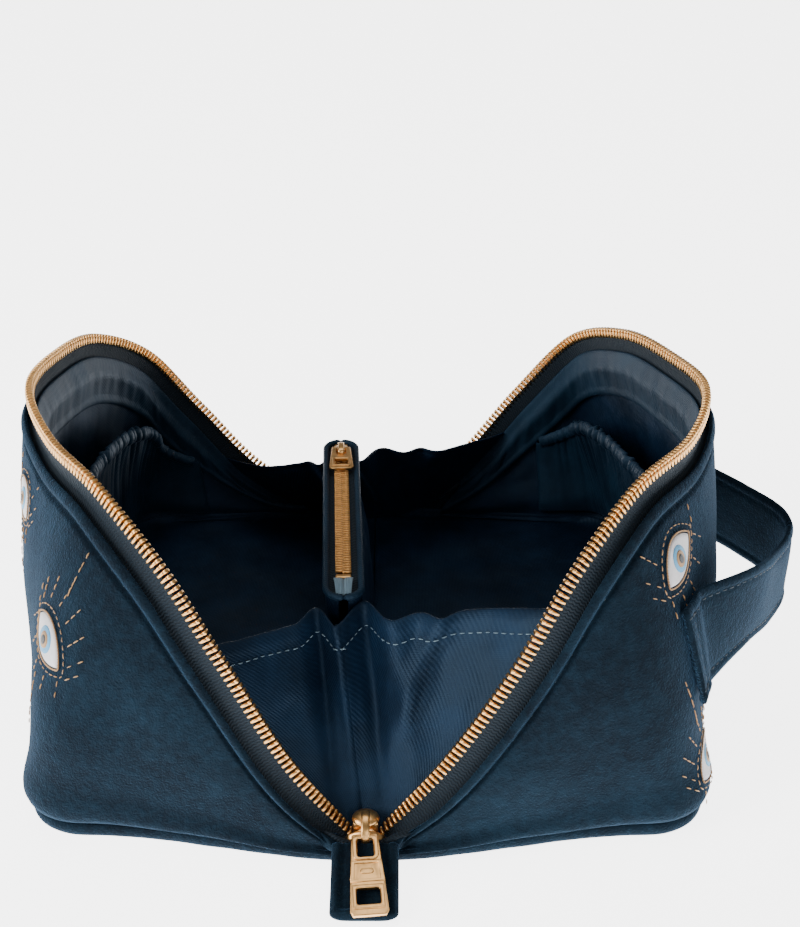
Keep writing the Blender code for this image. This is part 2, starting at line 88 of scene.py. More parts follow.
# Pull tabs at the zip's ends: half width, and how far in their seams run
TAB_HALF = 9.7
TAB_SEAM = 3.2

# Velvet bridge over the base seam
SEAM_FRONT = -103.2
SEAM_REAR = 96.2

# Carrying strap: its middle, half distance between sewn ends, edges and the front end's rise
STRAP_MIDDLE = -3.0
STRAP_SPAN = 62.0
STRAP_LOW = 31.0
STRAP_HIGH = 59.0
STRAP_RISE = 9.0


# ---------------------------------------------------------------- shader writing

class Wire:
    """A socket that adds Math nodes to its tree when it is used in arithmetic."""

    def __init__(self, paint, socket):
        self.paint = paint
        self.socket = socket

    def math(self, operation, *values):
        return self.paint.node("ShaderNodeMath", {"operation": operation}, *values)

    def __add__(self, other):
        return self.math("ADD", self, other)

    def __radd__(self, other):
        return self.math("ADD", other, self)

    def __sub__(self, other):
        return self.math("SUBTRACT", self, other)

    def __rsub__(self, other):
        return self.math("SUBTRACT", other, self)

    def __mul__(self, other):
        return self.math("MULTIPLY", self, other)

    def __rmul__(self, other):
        return self.math("MULTIPLY", other, self)

    def sine(self):
        return self.math("SINE", self)

    def size(self):
        return self.math("ABSOLUTE", self)

    def between(self, low, high):
        return self.paint.node("ShaderNodeMapRange", {"interpolation_type": "SMOOTHSTEP"}, self, low, high)


SOCKETS = {"Specular": "Specular IOR Level"}  # short name for the shader's socket


class Paint:
    """A material under construction around one Principled shader."""

    def __init__(self, name, **settings):
        self.material = bpy.data.materials.new(name)
        self.material.use_nodes = True
        self.tree = self.material.node_tree
        self.shader = self.tree.nodes["Principled BSDF"]
        for key, value in settings.items():
            self.set(key, value)

    def set(self, key, value):
        self.plug(value, self.shader.inputs[SOCKETS.get(key, key.replace("_", " "))])

    def plug(self, value, socket):
        if isinstance(value, Wire):
            self.tree.links.new(value.socket, socket)
        elif isinstance(value, tuple) and len(value) == 3 and socket.type == "RGBA":
            socket.default_value = (*value, 1.0)
        else:
            socket.default_value = value

    def node(self, kind, settings=None, *inputs, out=0, **named):
        """A node of any kind: its settings first, then values or wires for its sockets."""
        made = self.tree.nodes.new(kind)
        for key, value in (settings or {}).items():
            setattr(made, key, value)
        for socket, value in zip(made.inputs, inputs):
            self.plug(value, socket)
        for key, value in named.items():
            self.plug(value, made.inputs[key.replace("_", " ").title()])
        return Wire(self, made.outputs[out])

    def place(self, source="Object"):
        """Object coordinates in metres, or the piece's own cloth map in metres."""
        if source == "Object":
            return self.node("ShaderNodeTexCoord", out=3)
        return self.node("ShaderNodeUVMap", {"uv_map": "cloth"})

    def noise(self, where, scale, detail=3.0, roughness=0.55):
        return self.node("ShaderNodeTexNoise", None, Vector=where, Scale=scale, Detail=detail,
                         Roughness=roughness)

    def split(self, where):
        parts = self.tree.nodes.new("ShaderNodeSeparateXYZ")
        self.plug(where, parts.inputs[0])
        return [Wire(self, parts.outputs[i]) for i in range(3)]

    def blend(self, factor, first, second):
        """First colour where the factor is 0, second where it is 1."""
        mix = self.tree.nodes.new("ShaderNodeMix")
        mix.data_type = "RGBA"
        self.plug(factor, mix.inputs[0])
        self.plug(first, mix.inputs[6])
        self.plug(second, mix.inputs[7])
        return Wire(self, mix.outputs[2])

    def relief(self, height, strength, distance=0.0003):
        """Bump the surface by a height between 0 and 1."""
        bump = self.node("ShaderNodeBump", None, Strength=strength, Distance=distance, Height=height)
        self.set("Normal", bump)


# ---------------------------------------------------------------- finishes

def velvet():
    """Cotton velvet: short pile that brightens where it is brushed and at grazing angles."""
    cloth = Paint("cotton_velvet", Roughness=0.92, Sheen_Weight=0.38, Sheen_Roughness=0.36,
                  Sheen_Tint=(0.10, 0.25, 0.46), Specular=0.12)
    where = cloth.place()
    brushed = cloth.noise(where, 26.0, 4.0, 0.62).between(0.34, 0.72)
    pile = cloth.noise(where, 1500.0, 2.0, 0.6)
    mottled = cloth.noise(where, 300.0, 4.0, 0.75)
    shade = brushed * 0.42 + mottled.between(0.38, 0.68) * 0.38 + pile * 0.2
    cloth.set("Base Color", cloth.blend(shade, (0.0006, 0.0028, 0.0064), (0.0042, 0.0165, 0.0300)))
    cloth.relief(pile * 0.8 + mottled * 1.0, 0.9, 0.0006)
    return cloth.material


def satin(name, dark, light, roughness=0.42):
    """Twill-faced satin lining with a fine diagonal rib and small creases; its colour carries painted shade in the
    crease hollows and painted light on the crease ridges.
    """
    cloth = Paint(name, Sheen_Weight=0.03, Sheen_Roughness=0.4, Sheen_Tint=(0.2, 0.45, 0.9), Specular=0.3,
                  Specular_Tint=(0.45, 0.7, 1.0))
    along, across, _ = cloth.split(cloth.place("cloth"))
    rib = ((along + across * 0.62) * (2 * pi / 0.0011)).sine() * 0.5 + 0.5
    thread = (across * (2 * pi / 0.00055)).sine() * 0.5 + 0.5
    where = cloth.place()
    crease = cloth.noise(where, 55.0, 4.0, 0.6)
    fleck = cloth.noise(where, 900.0, 2.0, 0.5)
    # Painted light and shade: the crease noise that raises the bump also lightens the colour on the crease ridges and
    # darkens it in their hollows
    tone_with_painted_crease_shade = crease.between(0.3, 0.75) * 0.7 + rib * 0.1 + fleck * 0.2
    cloth.set("Base Color", cloth.blend(tone_with_painted_crease_shade, dark, light))
    cloth.set("Roughness", roughness + rib * 0.08 + crease * 0.12)
    cloth.relief(rib * 0.22 + thread * 0.1 + crease * 2.2, 0.5, 0.0005)
    return cloth.material


def twill_tape():
    """Woven zip tape: herringbone ribs that run along the tape."""
    cloth = Paint("zip_tape_weave", Sheen_Weight=0.05, Sheen_Roughness=0.5, Sheen_Tint=(0.4, 0.6, 0.8),
                  Specular=0.3)
    along, across, _ = cloth.split(cloth.place("cloth"))
    fold = ((across * (2 * pi / 0.0036)).sine()).size()
    rib = ((along * (2 * pi / 0.0010)) + fold * 2.4).sine() * 0.5 + 0.5
    fleck = cloth.noise(cloth.place(), 420.0, 3.0, 0.6)
    weave = rib * 0.6 + fleck * 0.4
    cloth.set("Base Color", cloth.blend(weave, (0.0008, 0.0034, 0.0070), (0.0038, 0.0125, 0.0220)))
    cloth.set("Roughness", 0.72 + fleck * 0.15)
    cloth.relief(rib, 0.6, 0.0003)
    return cloth.material


def gold(name, colour=(0.83, 0.50, 0.29), roughness=0.2):
    """Rose-gold plating with faint rub marks: darker patches at random and fine scratches."""
    metal = Paint(name, Metallic=1.0)
    where = metal.place()
    rubbed = metal.noise(where, 380.0, 3.0, 0.6)
    scratch = metal.noise(metal.node("ShaderNodeMapping", None, where, (0, 0, 0), (0, 0.4, 0.2), (900, 900, 120)),
                          1.0, 2.0, 0.5)
    deep = tuple(channel * 0.72 for channel in colour)
    metal.set("Base Color", metal.blend(rubbed.between(0.25, 0.6), deep, colour))
    metal.set("Roughness", roughness + rubbed * 0.14 + scratch * 0.08)
    metal.relief(scratch, 0.08, 0.0001)
    return metal.material


def thread(name, dark, light, metallic=0.0, roughness=0.5, strand=0.00042):
    """Embroidery or sewing thread: fine parallel strands across the piece."""
    yarn = Paint(name, Metallic=metallic, Sheen_Weight=0.2, Specular=0.5)
    along, across, _ = yarn.split(yarn.place("cloth"))
    where = yarn.place()
    wander = yarn.noise(where, 900.0, 2.0, 0.5)
    strands = ((along * (2 * pi / strand)) + wander * 2.2).sine() * 0.5 + 0.5
    yarn.set("Base Color", yarn.blend(strands * 0.65 + wander * 0.35, dark, light))
    yarn.set("Roughness", roughness + wander * 0.15)
    yarn.relief(strands, 0.7, 0.00018)
    return yarn.material


def studio_floor():
    surface = Paint("studio_floor", Roughness=0.6, Emission_Strength=4.5)
    cloudy = surface.noise(surface.place(), 3.0, 2.0)
    surface.set("Base Color", surface.blend(cloudy, (0.93, 0.93, 0.93), (0.95, 0.95, 0.95)))
    surface.set("Emission_Color", (1.0, 1.0, 1.0))
    return surface.material


FINISH = {
    "velvet": velvet(),
    # Both satins carry painted shade in their crease hollows and painted light on the crease ridges
    "lining": satin("satin_lining", (0.0007, 0.0032, 0.0090), (0.0032, 0.0135, 0.0340), 0.42),
    "facing": satin("satin_facing", (0.0014, 0.0058, 0.0130), (0.0060, 0.0210, 0.0400), 0.48),
    "tape": twill_tape(),
    "gold": gold("rose_gold", (0.72, 0.38, 0.13), 0.27),
    "bright_gold": gold("polished_rose_gold", (0.78, 0.44, 0.165), 0.2),
    "thread": thread("navy_thread", (0.004, 0.014, 0.026), (0.014, 0.040, 0.064)),
    "pale_thread": thread("steel_blue_thread", (0.05, 0.10, 0.14), (0.17, 0.26, 0.32)),
    "gold_thread": thread("gold_thread", (0.16, 0.075, 0.02), (0.50, 0.28, 0.10), 0.25, 0.42),
    "white_thread": thread("white_thread", (0.55, 0.53, 0.55), (0.88, 0.86, 0.87)),
    "blue_thread": thread("light_blue_thread", (0.03, 0.20, 0.42), (0.10, 0.42, 0.66)),
    "dark_thread": thread("ink_thread", (0.004, 0.008, 0.012), (0.02, 0.03, 0.04)),
}


# ---------------------------------------------------------------- lines and surfaces

def even(line, count):
    """The same line, as count evenly spaced points."""
    lengths = [0.0]
    for a, b in zip(line, line[1:]):
        lengths.append(lengths[-1] + (b - a).length)
    result = []
    i = 0
    for k in range(count):
        want = lengths[-1] * k / (count - 1)
        while i < len(line) - 2 and lengths[i + 1] < want:
            i += 1
        share = (want - lengths[i]) / max(lengths[i + 1] - lengths[i], 1e-9)
        result.append(line[i].lerp(line[i + 1], share))
    return result


def smooth_line(points, count):
    """Catmull-Rom curve through the points, as count evenly spaced points."""
    points = [Vector(p) for p in points]
    ends = [points[0] * 2 - points[1], *points, points[-1] * 2 - points[-2]]
    dense = []
    for a, b, c, d in zip(ends, ends[1:], ends[2:], ends[3:]):
        for step in range(24):
            t = step / 24
            dense.append(0.5 * (2 * b + (c - a) * t + (2 * a - 5 * b + 4 * c - d) * t * t
                                + (3 * b - a - 3 * c + d) * t ** 3))
    dense.append(points[-1].copy())
    return even(dense, count)


def along(line, s):
    place_on = min(max(s, 0.0), 1.0) * (len(line) - 1)
    i = min(int(place_on), len(line) - 2)
    return line[i].lerp(line[i + 1], place_on - i)


def ripple(point, size, seed=0.0):
    """Smooth noise between about -1 and 1 with features of the given size."""
    return noise.noise(Vector((point[0] / size + seed, point[1] / size - seed, point[2] / size)))


def bump(x, middle, width):
    return exp(-((x - middle) / width) ** 2)


def base_outline():
    """Half of the base's outline, from the front middle to the rear middle."""
    flat = BASE_HALF - BASE_CORNER
    line = []
    for step in range(25):
        x = flat * step / 24
        line.append(Vector((x, -BASE_FRONT - FRONT_BOW * cos(pi / 2 * x / flat) ** 2, 0)))
    for step in range(1, 13):
        turn = pi / 2 * step / 12
        line.append(Vector((flat + BASE_CORNER * sin(turn), -BASE_FRONT + BASE_CORNER * (1 - cos(turn)), 0)))
    for step in range(13):
        turn = pi / 2 * step / 12
        line.append(Vector((flat + BASE_CORNER * cos(turn), BASE_REAR - BASE_CORNER * (1 - sin(turn)), 0)))
    for step in range(1, 25):
        x = flat * (1 - step / 24)
        line.append(Vector((x, BASE_REAR + REAR_BOW * cos(pi / 2 * x / flat) ** 2, 0)))
    return even(line, 240)


class Half:
    """The wall of one half; side is 1 on the right and -1 on the left."""

    def __init__(self, side):
        self.side = side
        self.name = NAME[side]
        self.body = self.name + "_half"
        self.rim = smooth_line(RIM[side], 240)
        self.base = base_outline()

    def down(self, s):
        tangent = (along(self.rim, s + 0.01) - along(self.rim, s - 0.01)).normalized()
        fall = along(self.base, s) - along(self.rim, s)
        return (fall - fall.dot(tangent) * tangent).normalized()

    def out(self, s):
        tangent = along(self.rim, s + 0.01) - along(self.rim, s - 0.01)
        return self.down(s).cross(tangent).normalized()

    def foot(self, s):
        """The crease where the wall turns under; it draws inwards towards the two Vs."""
        lift = 4.3 + 0.4 * ripple((s * 22, 0, 0), 1.0, 9.0)
        point = along(self.base, s).copy()
        inward = 2.2 * (bump(s, 0.0, 0.2) + bump(s, 1.0, 0.2))
        point.y -= inward if point.y > 0 else -inward
        point.z = lift
        return point

    def plain(self, s, t):
        edge = along(self.rim, s) + self.down(s) * TAPE_SHOW
        foot = self.foot(s)
        edge.z = max(edge.z, foot.z + 1.2)
        point = foot.lerp(edge, t)
        belly = WALL_BULGE * sin(pi * min(max(t, 0.0), 1.0)) ** 0.8 * sin(pi * min(max(s, 0), 1)) ** 0.9
        return point + self.out(s) * belly

    def column(self, s):
        return (self.plain(s, 1.0) - self.plain(s, 0.0)).length

    def share_below(self, s, drop):
        """Height share of the wall at drop millimetres from the heads of the teeth."""
        return 1 - (drop - TAPE_SHOW) / self.column(s)

    def normal(self, s, t):
        e = 0.012
        lo, hi = max(s - e, 0.0), min(s + e, 1.0)
        down, up = max(t - e, 0.0), min(t + e, 1.0)
        across = self.plain(hi, t) - self.plain(lo, t)
        rise = self.plain(s, up) - self.plain(s, down)
        return across.cross(rise).normalized()

    def wall(self, s, t, depth):
        """A point of the soft wall, depth millimetres in from the velvet's face."""
        point = self.plain(s, t)
        slack = sin(pi * min(max(t, 0.0), 1.0)) ** 0.7
        tucked = 2.4 * bump(t, 0.07, 0.07) * (1 - bump(s, 0.5, 0.16))
        sag = (1.5 * ripple(point, 46, 3.1 * self.side) + 0.6 * ripple(point, 19, 1.7)) * slack + tucked
        return point - self.normal(s, t) * (depth - sag)

    def band(self, s, drop, depth):
        """A point beside the rim, drop millimetres down the cloth from the heads."""
        return along(self.rim, s) + self.down(s) * drop - self.out(s) * depth

    def mirrored(self, point):
        return Vector((point.x * self.side, point.y, point.z))

    def laid(self, surface, span=(0.0, 1.0)):
        """surface(s, v) of this half as a surface of u and v that faces outwards."""
        def place(u, v):
            s = u if self.side > 0 else 1 - u
            return self.mirrored(surface(span[0] + (span[1] - span[0]) * s, v))
        return place

    def bend(self, piece):
        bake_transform(piece)

    def sew(self, piece, slot, *nodes):
        """The piece's placement is baked into its mesh, and it stands for CAD nodes, whose parts are hidden; the slot
        is not used.
        """
        self.bend(piece)
        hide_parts(*nodes)


HALVES = (Half(1), Half(-1))


# ---------------------------------------------------------------- making pieces

def piece_of(name, mesh, finish):
    made = bpy.data.objects.new(name, mesh)
    bpy.context.scene.collection.objects.link(made)
    mesh.materials.clear()
    mesh.materials.append(FINISH[finish])
    return made


def grid_mesh(name, columns, rows, surface, ring=False):
    """A quad grid on surface(u, v) with a cloth map in metres; ring closes it in v."""
    points = [[surface(i / columns, j / rows) * MM for j in range(rows + 1)] for i in range(columns + 1)]
    mid_row = [0.0]
    for i in range(columns):
        mid_row.append(mid_row[-1] + (points[i + 1][rows // 2] - points[i][rows // 2]).length)
    mid_column = [0.0]
    for j in range(rows):
        mid_column.append(mid_column[-1] + (points[columns // 2][j + 1] - points[columns // 2][j]).length)
    bm = bmesh.new()
    cloth = bm.loops.layers.uv.new("cloth")
    verts = [[bm.verts.new(points[i][j]) for j in range(rows + (0 if ring else 1))] for i in range(columns + 1)]
    for i in range(columns):
        for j in range(rows):
            corners = ((i, j), (i + 1, j), (i + 1, j + 1), (i, j + 1))
            face = bm.faces.new([verts[a][b % rows if ring else b] for a, b in corners])
            face.smooth = True
            for loop, (a, b) in zip(face.loops, corners):
                loop[cloth].uv = (mid_row[a], mid_column[b])
    if ring:
        for end in (0, columns):
            face = bm.faces.new(verts[end][::-1] if end == 0 else verts[end])
            face.smooth = True
    mesh = bpy.data.meshes.new(name)
    bm.to_mesh(mesh)
    bm.free()
    return mesh


def cloth(name, finish, columns, rows, surface, thick):
    """A sewn sheet of the given thickness whose outer face lies on the surface."""
    made = piece_of(name, grid_mesh(name, columns, rows, surface), finish)
    solid = made.modifiers.new("thickness", "SOLIDIFY")
    solid.thickness = thick * MM
    solid.offset = -1.0
    return settle(soften(made))


def soften(made, levels=1):
    sub = made.modifiers.new("soft", "SUBSURF")
    sub.levels = sub.render_levels = levels
    sub.boundary_smooth = "PRESERVE_CORNERS"
    return made


def settle(made):
    """Applies the piece's modifiers, so that its mesh is final."""
    graph = bpy.context.evaluated_depsgraph_get()
    mesh = bpy.data.meshes.new_from_object(made.evaluated_get(graph))
    made.modifiers.clear()
    made.data = mesh
    made.data.shade_smooth()
    return made


def tube(name, finish, line, radius, sides):
    """A round cord along a line, with closed ends."""
    count = len(line) - 1

    def surface(u, v):
        centre = along(line, u)
        tangent = (along(line, u + 1.2 / count) - along(line, u - 1.2 / count)).normalized()
        side = tangent.cross(UP if abs(tangent.z) < 0.9 else Vector((0, 1, 0))).normalized()
        lift = side.cross(tangent)
        turn = 2 * pi * v
        taper = min(1.0, 0.45 + min(u, 1 - u) * count * 0.5)
        return centre + (side * cos(turn) + lift * sin(turn)) * radius * taper

    mesh = grid_mesh(name, count, sides, surface, ring=True)
    made = piece_of(name, mesh, finish)
    return outward(made)


def squarish(value, power):
    """A cosine or sine pushed towards -1 and 1, for sections between round and square."""
    return (1 if value > 0 else -1) * abs(value) ** power


def outward(made):
    bm = bmesh.new()
    bm.from_mesh(made.data)
    bmesh.ops.recalc_face_normals(bm, faces=bm.faces)
    bm.to_mesh(made.data)
    bm.free()
    return made


def joined(name, pieces, finish=None):
    """Several pieces as one piece; each keeps its own material unless one is given."""
    for piece in pieces:
        settle(piece)
    with bpy.context.temp_override(active_object=pieces[0], selected_editable_objects=pieces):
        bpy.ops.object.join()
    made = pieces[0]
    made.name = name
    made.data.name = name
    if finish:
        made.data.materials.clear()
        made.data.materials.append(FINISH[finish])
    return made


def belongs(piece, body, nodes=()):
    """The piece rides on a body and stands for CAD nodes."""
    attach(piece, body)
    if nodes:
        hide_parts(*nodes)
    return piece


# ---------------------------------------------------------------- rows of small things

def row_tree():
    """Geometry nodes: puts a pattern along a line at a pitch, turned to face outwards."""
    tree = bpy.data.node_groups.new("row_along_line", "GeometryNodeTree")
    interface = tree.interface
    interface.new_socket("Geometry", in_out="OUTPUT", socket_type="NodeSocketGeometry")
    interface.new_socket("Geometry", in_out="INPUT", socket_type="NodeSocketGeometry")
    interface.new_socket("Pattern", in_out="INPUT", socket_type="NodeSocketObject")
    interface.new_socket("Pitch", in_out="INPUT", socket_type="NodeSocketFloat")
    interface.new_socket("Size Spread", in_out="INPUT", socket_type="NodeSocketFloat")
    interface.new_socket("Finish", in_out="INPUT", socket_type="NodeSocketMaterial")

    def add(kind, links=(), **settings):
        node = tree.nodes.new(kind)
        for key, value in settings.items():
            setattr(node, key, value)
        for socket, source in links:
            tree.links.new(source, node.inputs[socket])
        return node

    given = add("NodeGroupInput").outputs
    line = add("GeometryNodeMeshToCurve", [("Mesh", given["Geometry"])])
    spaced = add("GeometryNodeResampleCurve", [("Curve", line.outputs[0]), ("Length", given["Pitch"])], mode="LENGTH")
    tangent = add("GeometryNodeInputTangent")
    outward_way = add("GeometryNodeInputNamedAttribute", data_type="FLOAT_VECTOR")
    outward_way.inputs["Name"].default_value = "out"
    turned = add("FunctionNodeAxesToRotation", primary_axis="Y", secondary_axis="Z")
    tree.links.new(tangent.outputs[0], turned.inputs["Primary Axis"])
    tree.links.new(outward_way.outputs[0], turned.inputs["Secondary Axis"])
    pattern = add("GeometryNodeObjectInfo", [("Object", given["Pattern"])])
    least = add("ShaderNodeMath", [(1, given["Size Spread"])], operation="SUBTRACT")
    least.inputs[0].default_value = 1.0
    most = add("ShaderNodeMath", [(1, given["Size Spread"])], operation="ADD")
    most.inputs[0].default_value = 1.0
    spread = add("FunctionNodeRandomValue", data_type="FLOAT")
    tree.links.new(least.outputs[0], spread.inputs[2])
    tree.links.new(most.outputs[0], spread.inputs[3])
    spread.inputs["Seed"].default_value = 7
    strung = add("GeometryNodeInstanceOnPoints",
                 [("Points", spaced.outputs[0]), ("Instance", pattern.outputs["Geometry"]),
                  ("Rotation", turned.outputs[0]), ("Scale", spread.outputs[1])])
    real = add("GeometryNodeRealizeInstances", [("Geometry", strung.outputs[0])])
    painted = add("GeometryNodeSetMaterial", [("Geometry", real.outputs[0]), ("Material", given["Finish"])])
    result = add("NodeGroupOutput")
    tree.links.new(painted.outputs[0], result.inputs[0])
    return tree


ROW_TREE = row_tree()


def row(name, finish, lines, pattern, pitch, spread=0.0):
    """Copies of a pattern mesh along lines of (point, outward way), as one plain mesh."""
    bm = bmesh.new()
    ways = []
    for line in lines:
        previous = None
        for point, way in line:
            vert = bm.verts.new(point * MM)
            ways.append(way.normalized())
            if previous is not None:
                bm.edges.new((previous, vert))
            previous = vert
    mesh = bpy.data.meshes.new(name)
    bm.to_mesh(mesh)
    bm.free()
    attribute = mesh.attributes.new("out", "FLOAT_VECTOR", "POINT")
    attribute.data.foreach_set("vector", [value for way in ways for value in way])
    made = piece_of(name, mesh, finish)
    sample = bpy.data.objects.new(name + "_pattern", pattern)
    strung = made.modifiers.new("row", "NODES")
    strung.node_group = ROW_TREE
    values = {"Pattern": sample, "Pitch": pitch * MM, "Size Spread": spread, "Finish": FINISH[finish]}
    for item in ROW_TREE.interface.items_tree:
        if item.in_out == "INPUT" and item.name in values:
            strung[item.identifier] = values[item.name]
    settle(made)
    bpy.data.objects.remove(sample)
    if "out" in made.data.attributes:
        made.data.attributes.remove(made.data.attributes["out"])
    return made


def block_pattern(blocks, bevel):
    """A small mesh of softened blocks, each given as (size, centre) in millimetres."""
    bm = bmesh.new()
    cloth_map = bm.loops.layers.uv.new("cloth")
    for size, centre in blocks:
        matrix = Matrix.Translation(Vector(centre) * MM) @ Matrix.Diagonal((*(Vector(size) * MM), 1.0))
        made = bmesh.ops.create_cube(bm, size=1.0, matrix=matrix)
        edges = {edge for vert in made["verts"] for edge in vert.link_edges}
        bmesh.ops.bevel(bm, geom=list(edges), offset=bevel * MM, segments=1, affect="EDGES")
    for face in bm.faces:
        for loop in face.loops:
            loop[cloth_map].uv = (loop.vert.co.x, loop.vert.co.y)
    mesh = bpy.data.meshes.new("pattern")
    bm.to_mesh(mesh)
    bm.free()
    return mesh


def stitch_pattern(length, width, height):
    """One stitch: a slim bean along Y, a little sunk at its ends."""
    bm = bmesh.new()
    bmesh.ops.create_uvsphere(bm, u_segments=8, v_segments=6, radius=0.5)
    cloth_map = bm.loops.layers.uv.new("cloth")
    for vert in bm.verts:
        x, y, z = vert.co
        vert.co = Vector((x * width, z * length, y * height - abs(z) ** 2 * height)) * MM
    for face in bm.faces:
        for loop in face.loops:
            loop[cloth_map].uv = (loop.vert.co.x, loop.vert.co.y)
    bmesh.ops.recalc_face_normals(bm, faces=bm.faces)
    mesh = bpy.data.meshes.new("pattern")
    bm.to_mesh(mesh)
    bm.free()
    return mesh


# ---------------------------------------------------------------- the two halves

def sheet_row(name, finish, half, surface, spans, pattern, pitch, spread=0.1):
    """Stitches along one or more lines (surface(q), outward(q)) of a half, mirrored for its side."""
    lines = []
    for start, end, count in spans:
        line = []
        for k in range(count + 1):
            q = start + (end - start) * k / count
            point, way = surface(q)
            line.append((half.mirrored(point), half.mirrored(way)))
        lines.append(line if half.side > 0 else line[::-1])
    return row(name, finish, lines, pattern, pitch, spread)


def wall_by_drop(half, s, drop, depth):
    point = half.band(s, drop, depth) if drop <= TAPE_SHOW else half.wall(s, half.share_below(s, drop), depth)
    point.z = max(point.z, 4.6)
    return point


def velvet_relief(half, s, t):
    """How far the velvet's face sinks at a place: welt along the zip, seam crease and rolled foot."""
    drop = TAPE_SHOW + (1 - t) * half.column(s)
    pucker = ripple((s * 60, 0, 0), 1.0, half.side * 5.0)
    welt = 1.1 * max(0.0, sin(pi * min(max((drop - 8.6) / 4.6, 0), 1))) ** 0.6
    crease = 0.95 * bump(drop, 13.7, 1.0)
    quilt = 0.18 * pucker * bump(drop, 16.0, 3.0)
    under = 3.6 * max(0.0, 1 - t / 0.05) ** 2
    return crease + quilt + under - welt


def velvet_wall(half):
    def surface(s, v):
        low = max(half.share_below(s, 17.0), 0.25)
        t = v / 0.5 * low if v < 0.5 else low + (v - 0.5) / 0.5 * (1 - low)
        return half.wall(s, t, velvet_relief(half, s, t))

    made = cloth(half.name + "_velvet_wall", "velvet", 170, 44, half.laid(surface, (0.012, 0.988)), 1.5)
    half.sew(made, "velvet", half.name + "_velvet_shell", half.name + "_foam_layer")


def base_pad(half):
    """Underside and rolled side of the padded base."""
    def surface(s, v):
        edge = along(half.base, s)
        if v < 0.6:
            q = v / 0.6
            return Vector((edge.x * q * (1 - 2.2 / BASE_HALF), edge.y * (1 - 2.2 / 95), 0.3))
        turn = pi * (v - 0.6) / 0.4
        pull = 2.2 - 1.5 * sin(turn) + 0.5 * ripple((s * 34, 0, 0), 1.0, 2.0)
        return Vector((edge.x * (1 - pull / BASE_HALF), edge.y * (1 - pull / 95), 2.9 - 2.6 * cos(turn)))

    made = cloth(half.name + "_base_pad", "velvet", 120, 14, half.laid(surface, (0.008, 0.992)), 1.0)
    half.sew(made, "velvet", half.name + "_base_velvet", half.name + "_base_board")


def base_floor(half):
    """Lining of the base, a little quilted, from the wall's foot to the middle seam."""
    def surface(s, v):
        edge = along(half.base, s)
        x = edge.x * 0.972 * (1 - v)
        rumple = 0.7 * ripple((x, edge.y, 0), 17, 4.0) + 0.4 * ripple((x, edge.y, 0), 7, 1.0)
        return Vector((x, edge.y * 0.962, 6.6 + 3.0 * max(0, 1 - v * 8) ** 2 + rumple * sin(pi * v) ** 0.5))

    made = cloth(half.name + "_base_floor", "lining", 90, 26, half.laid(surface, (0.02, 0.98)), 0.8)
    half.sew(made, "lining_satin", half.name + "_base_lining")


def wall_lining(half):
    def surface(s, v):
        top = half.share_below(s, 22.0)
        t = max(top, 0.08) * v
        point = half.plain(s, t)
        rumple = (1.1 * ripple(point, 15, 6.0) + 0.5 * ripple(point, 6, 2.0)) * sin(pi * v) ** 0.5
        gather = 0.45 * ripple((s * 95, 0, 0), 1.0, 8.0) * v ** 2
        return half.wall(s, t, LINING_DEPTH + rumple + gather)

    made = cloth(half.name + "_wall_lining", "lining", 150, 30, half.laid(surface, (0.06, 0.93)), 0.6)
    half.sew(made, "lining_satin", half.name + "_lining")


def facing_point(half, s, v):
    """The gathered facing from the tape (v = 0) to its sewn lower edge (v = 1)."""
    drop = 8.2 + 17.0 * v
    gather = (1.3 * ripple((s * 60, 0, 0), 1.0, 3.0) + 0.7 * ripple((s * 150, v, 0), 1.0, 7.0)) * sin(pi * v) ** 0.6
    settle_in = min(1.0, v * 3.2)
    depth = 3.0 + (FACING_DEPTH - 2.4) * settle_in ** 0.7 + gather + 0.8 * bump(v, 0.9, 0.05)
    return wall_by_drop(half, s, drop, depth)


def facing(half):
    made = cloth(half.name + "_facing", "facing", 170, 14,
                 half.laid(lambda s, v: facing_point(half, s, 1 - v), (0.07, 0.93)), 0.7)
    half.sew(made, "lining_satin", half.name + "_facing_band")

    def seam(q):
        return facing_point(half, q, 0.82) - half.out(q) * 0.35, -half.out(q)

    stitches = sheet_row(half.name + "_facing_stitches", "pale_thread", half, seam, [(0.09, 0.91, 300)],
                         stitch_pattern(1.8, 0.32, 0.3), 2.9)
    half.bend(stitches)


def rim_tape(half):
    def surface(s, v):
        drop = 14.0 - 11.6 * v
        cord_edge = 0.5 * bump(drop, 3.1, 0.7)
        return wall_by_drop(half, s, drop, TAPE_DEPTH - cord_edge)

    made = cloth(half.name + "_tape", "tape", 150, 12, half.laid(surface, (0.0, 0.975)), 0.7)
    half.sew(made, "zip_tape", half.name + "_zip_tape")


def rim_teeth(half):
    pattern = block_pattern([((1.3, 1.15, 2.2), (0.65, 0, 0)), ((2.6, 0.92, 2.7), (2.2, 0, 0))], 0.2)

    def line(q):
        return half.band(q, 0.0, TAPE_DEPTH + 0.3), half.out(q)

    made = sheet_row(half.name + "_teeth", "bright_gold", half, line, [(0.0, 0.97, 440)], pattern, TOOTH_PITCH, 0.0)
    half.sew(made, "gold_metal", half.name + "_zip_teeth")


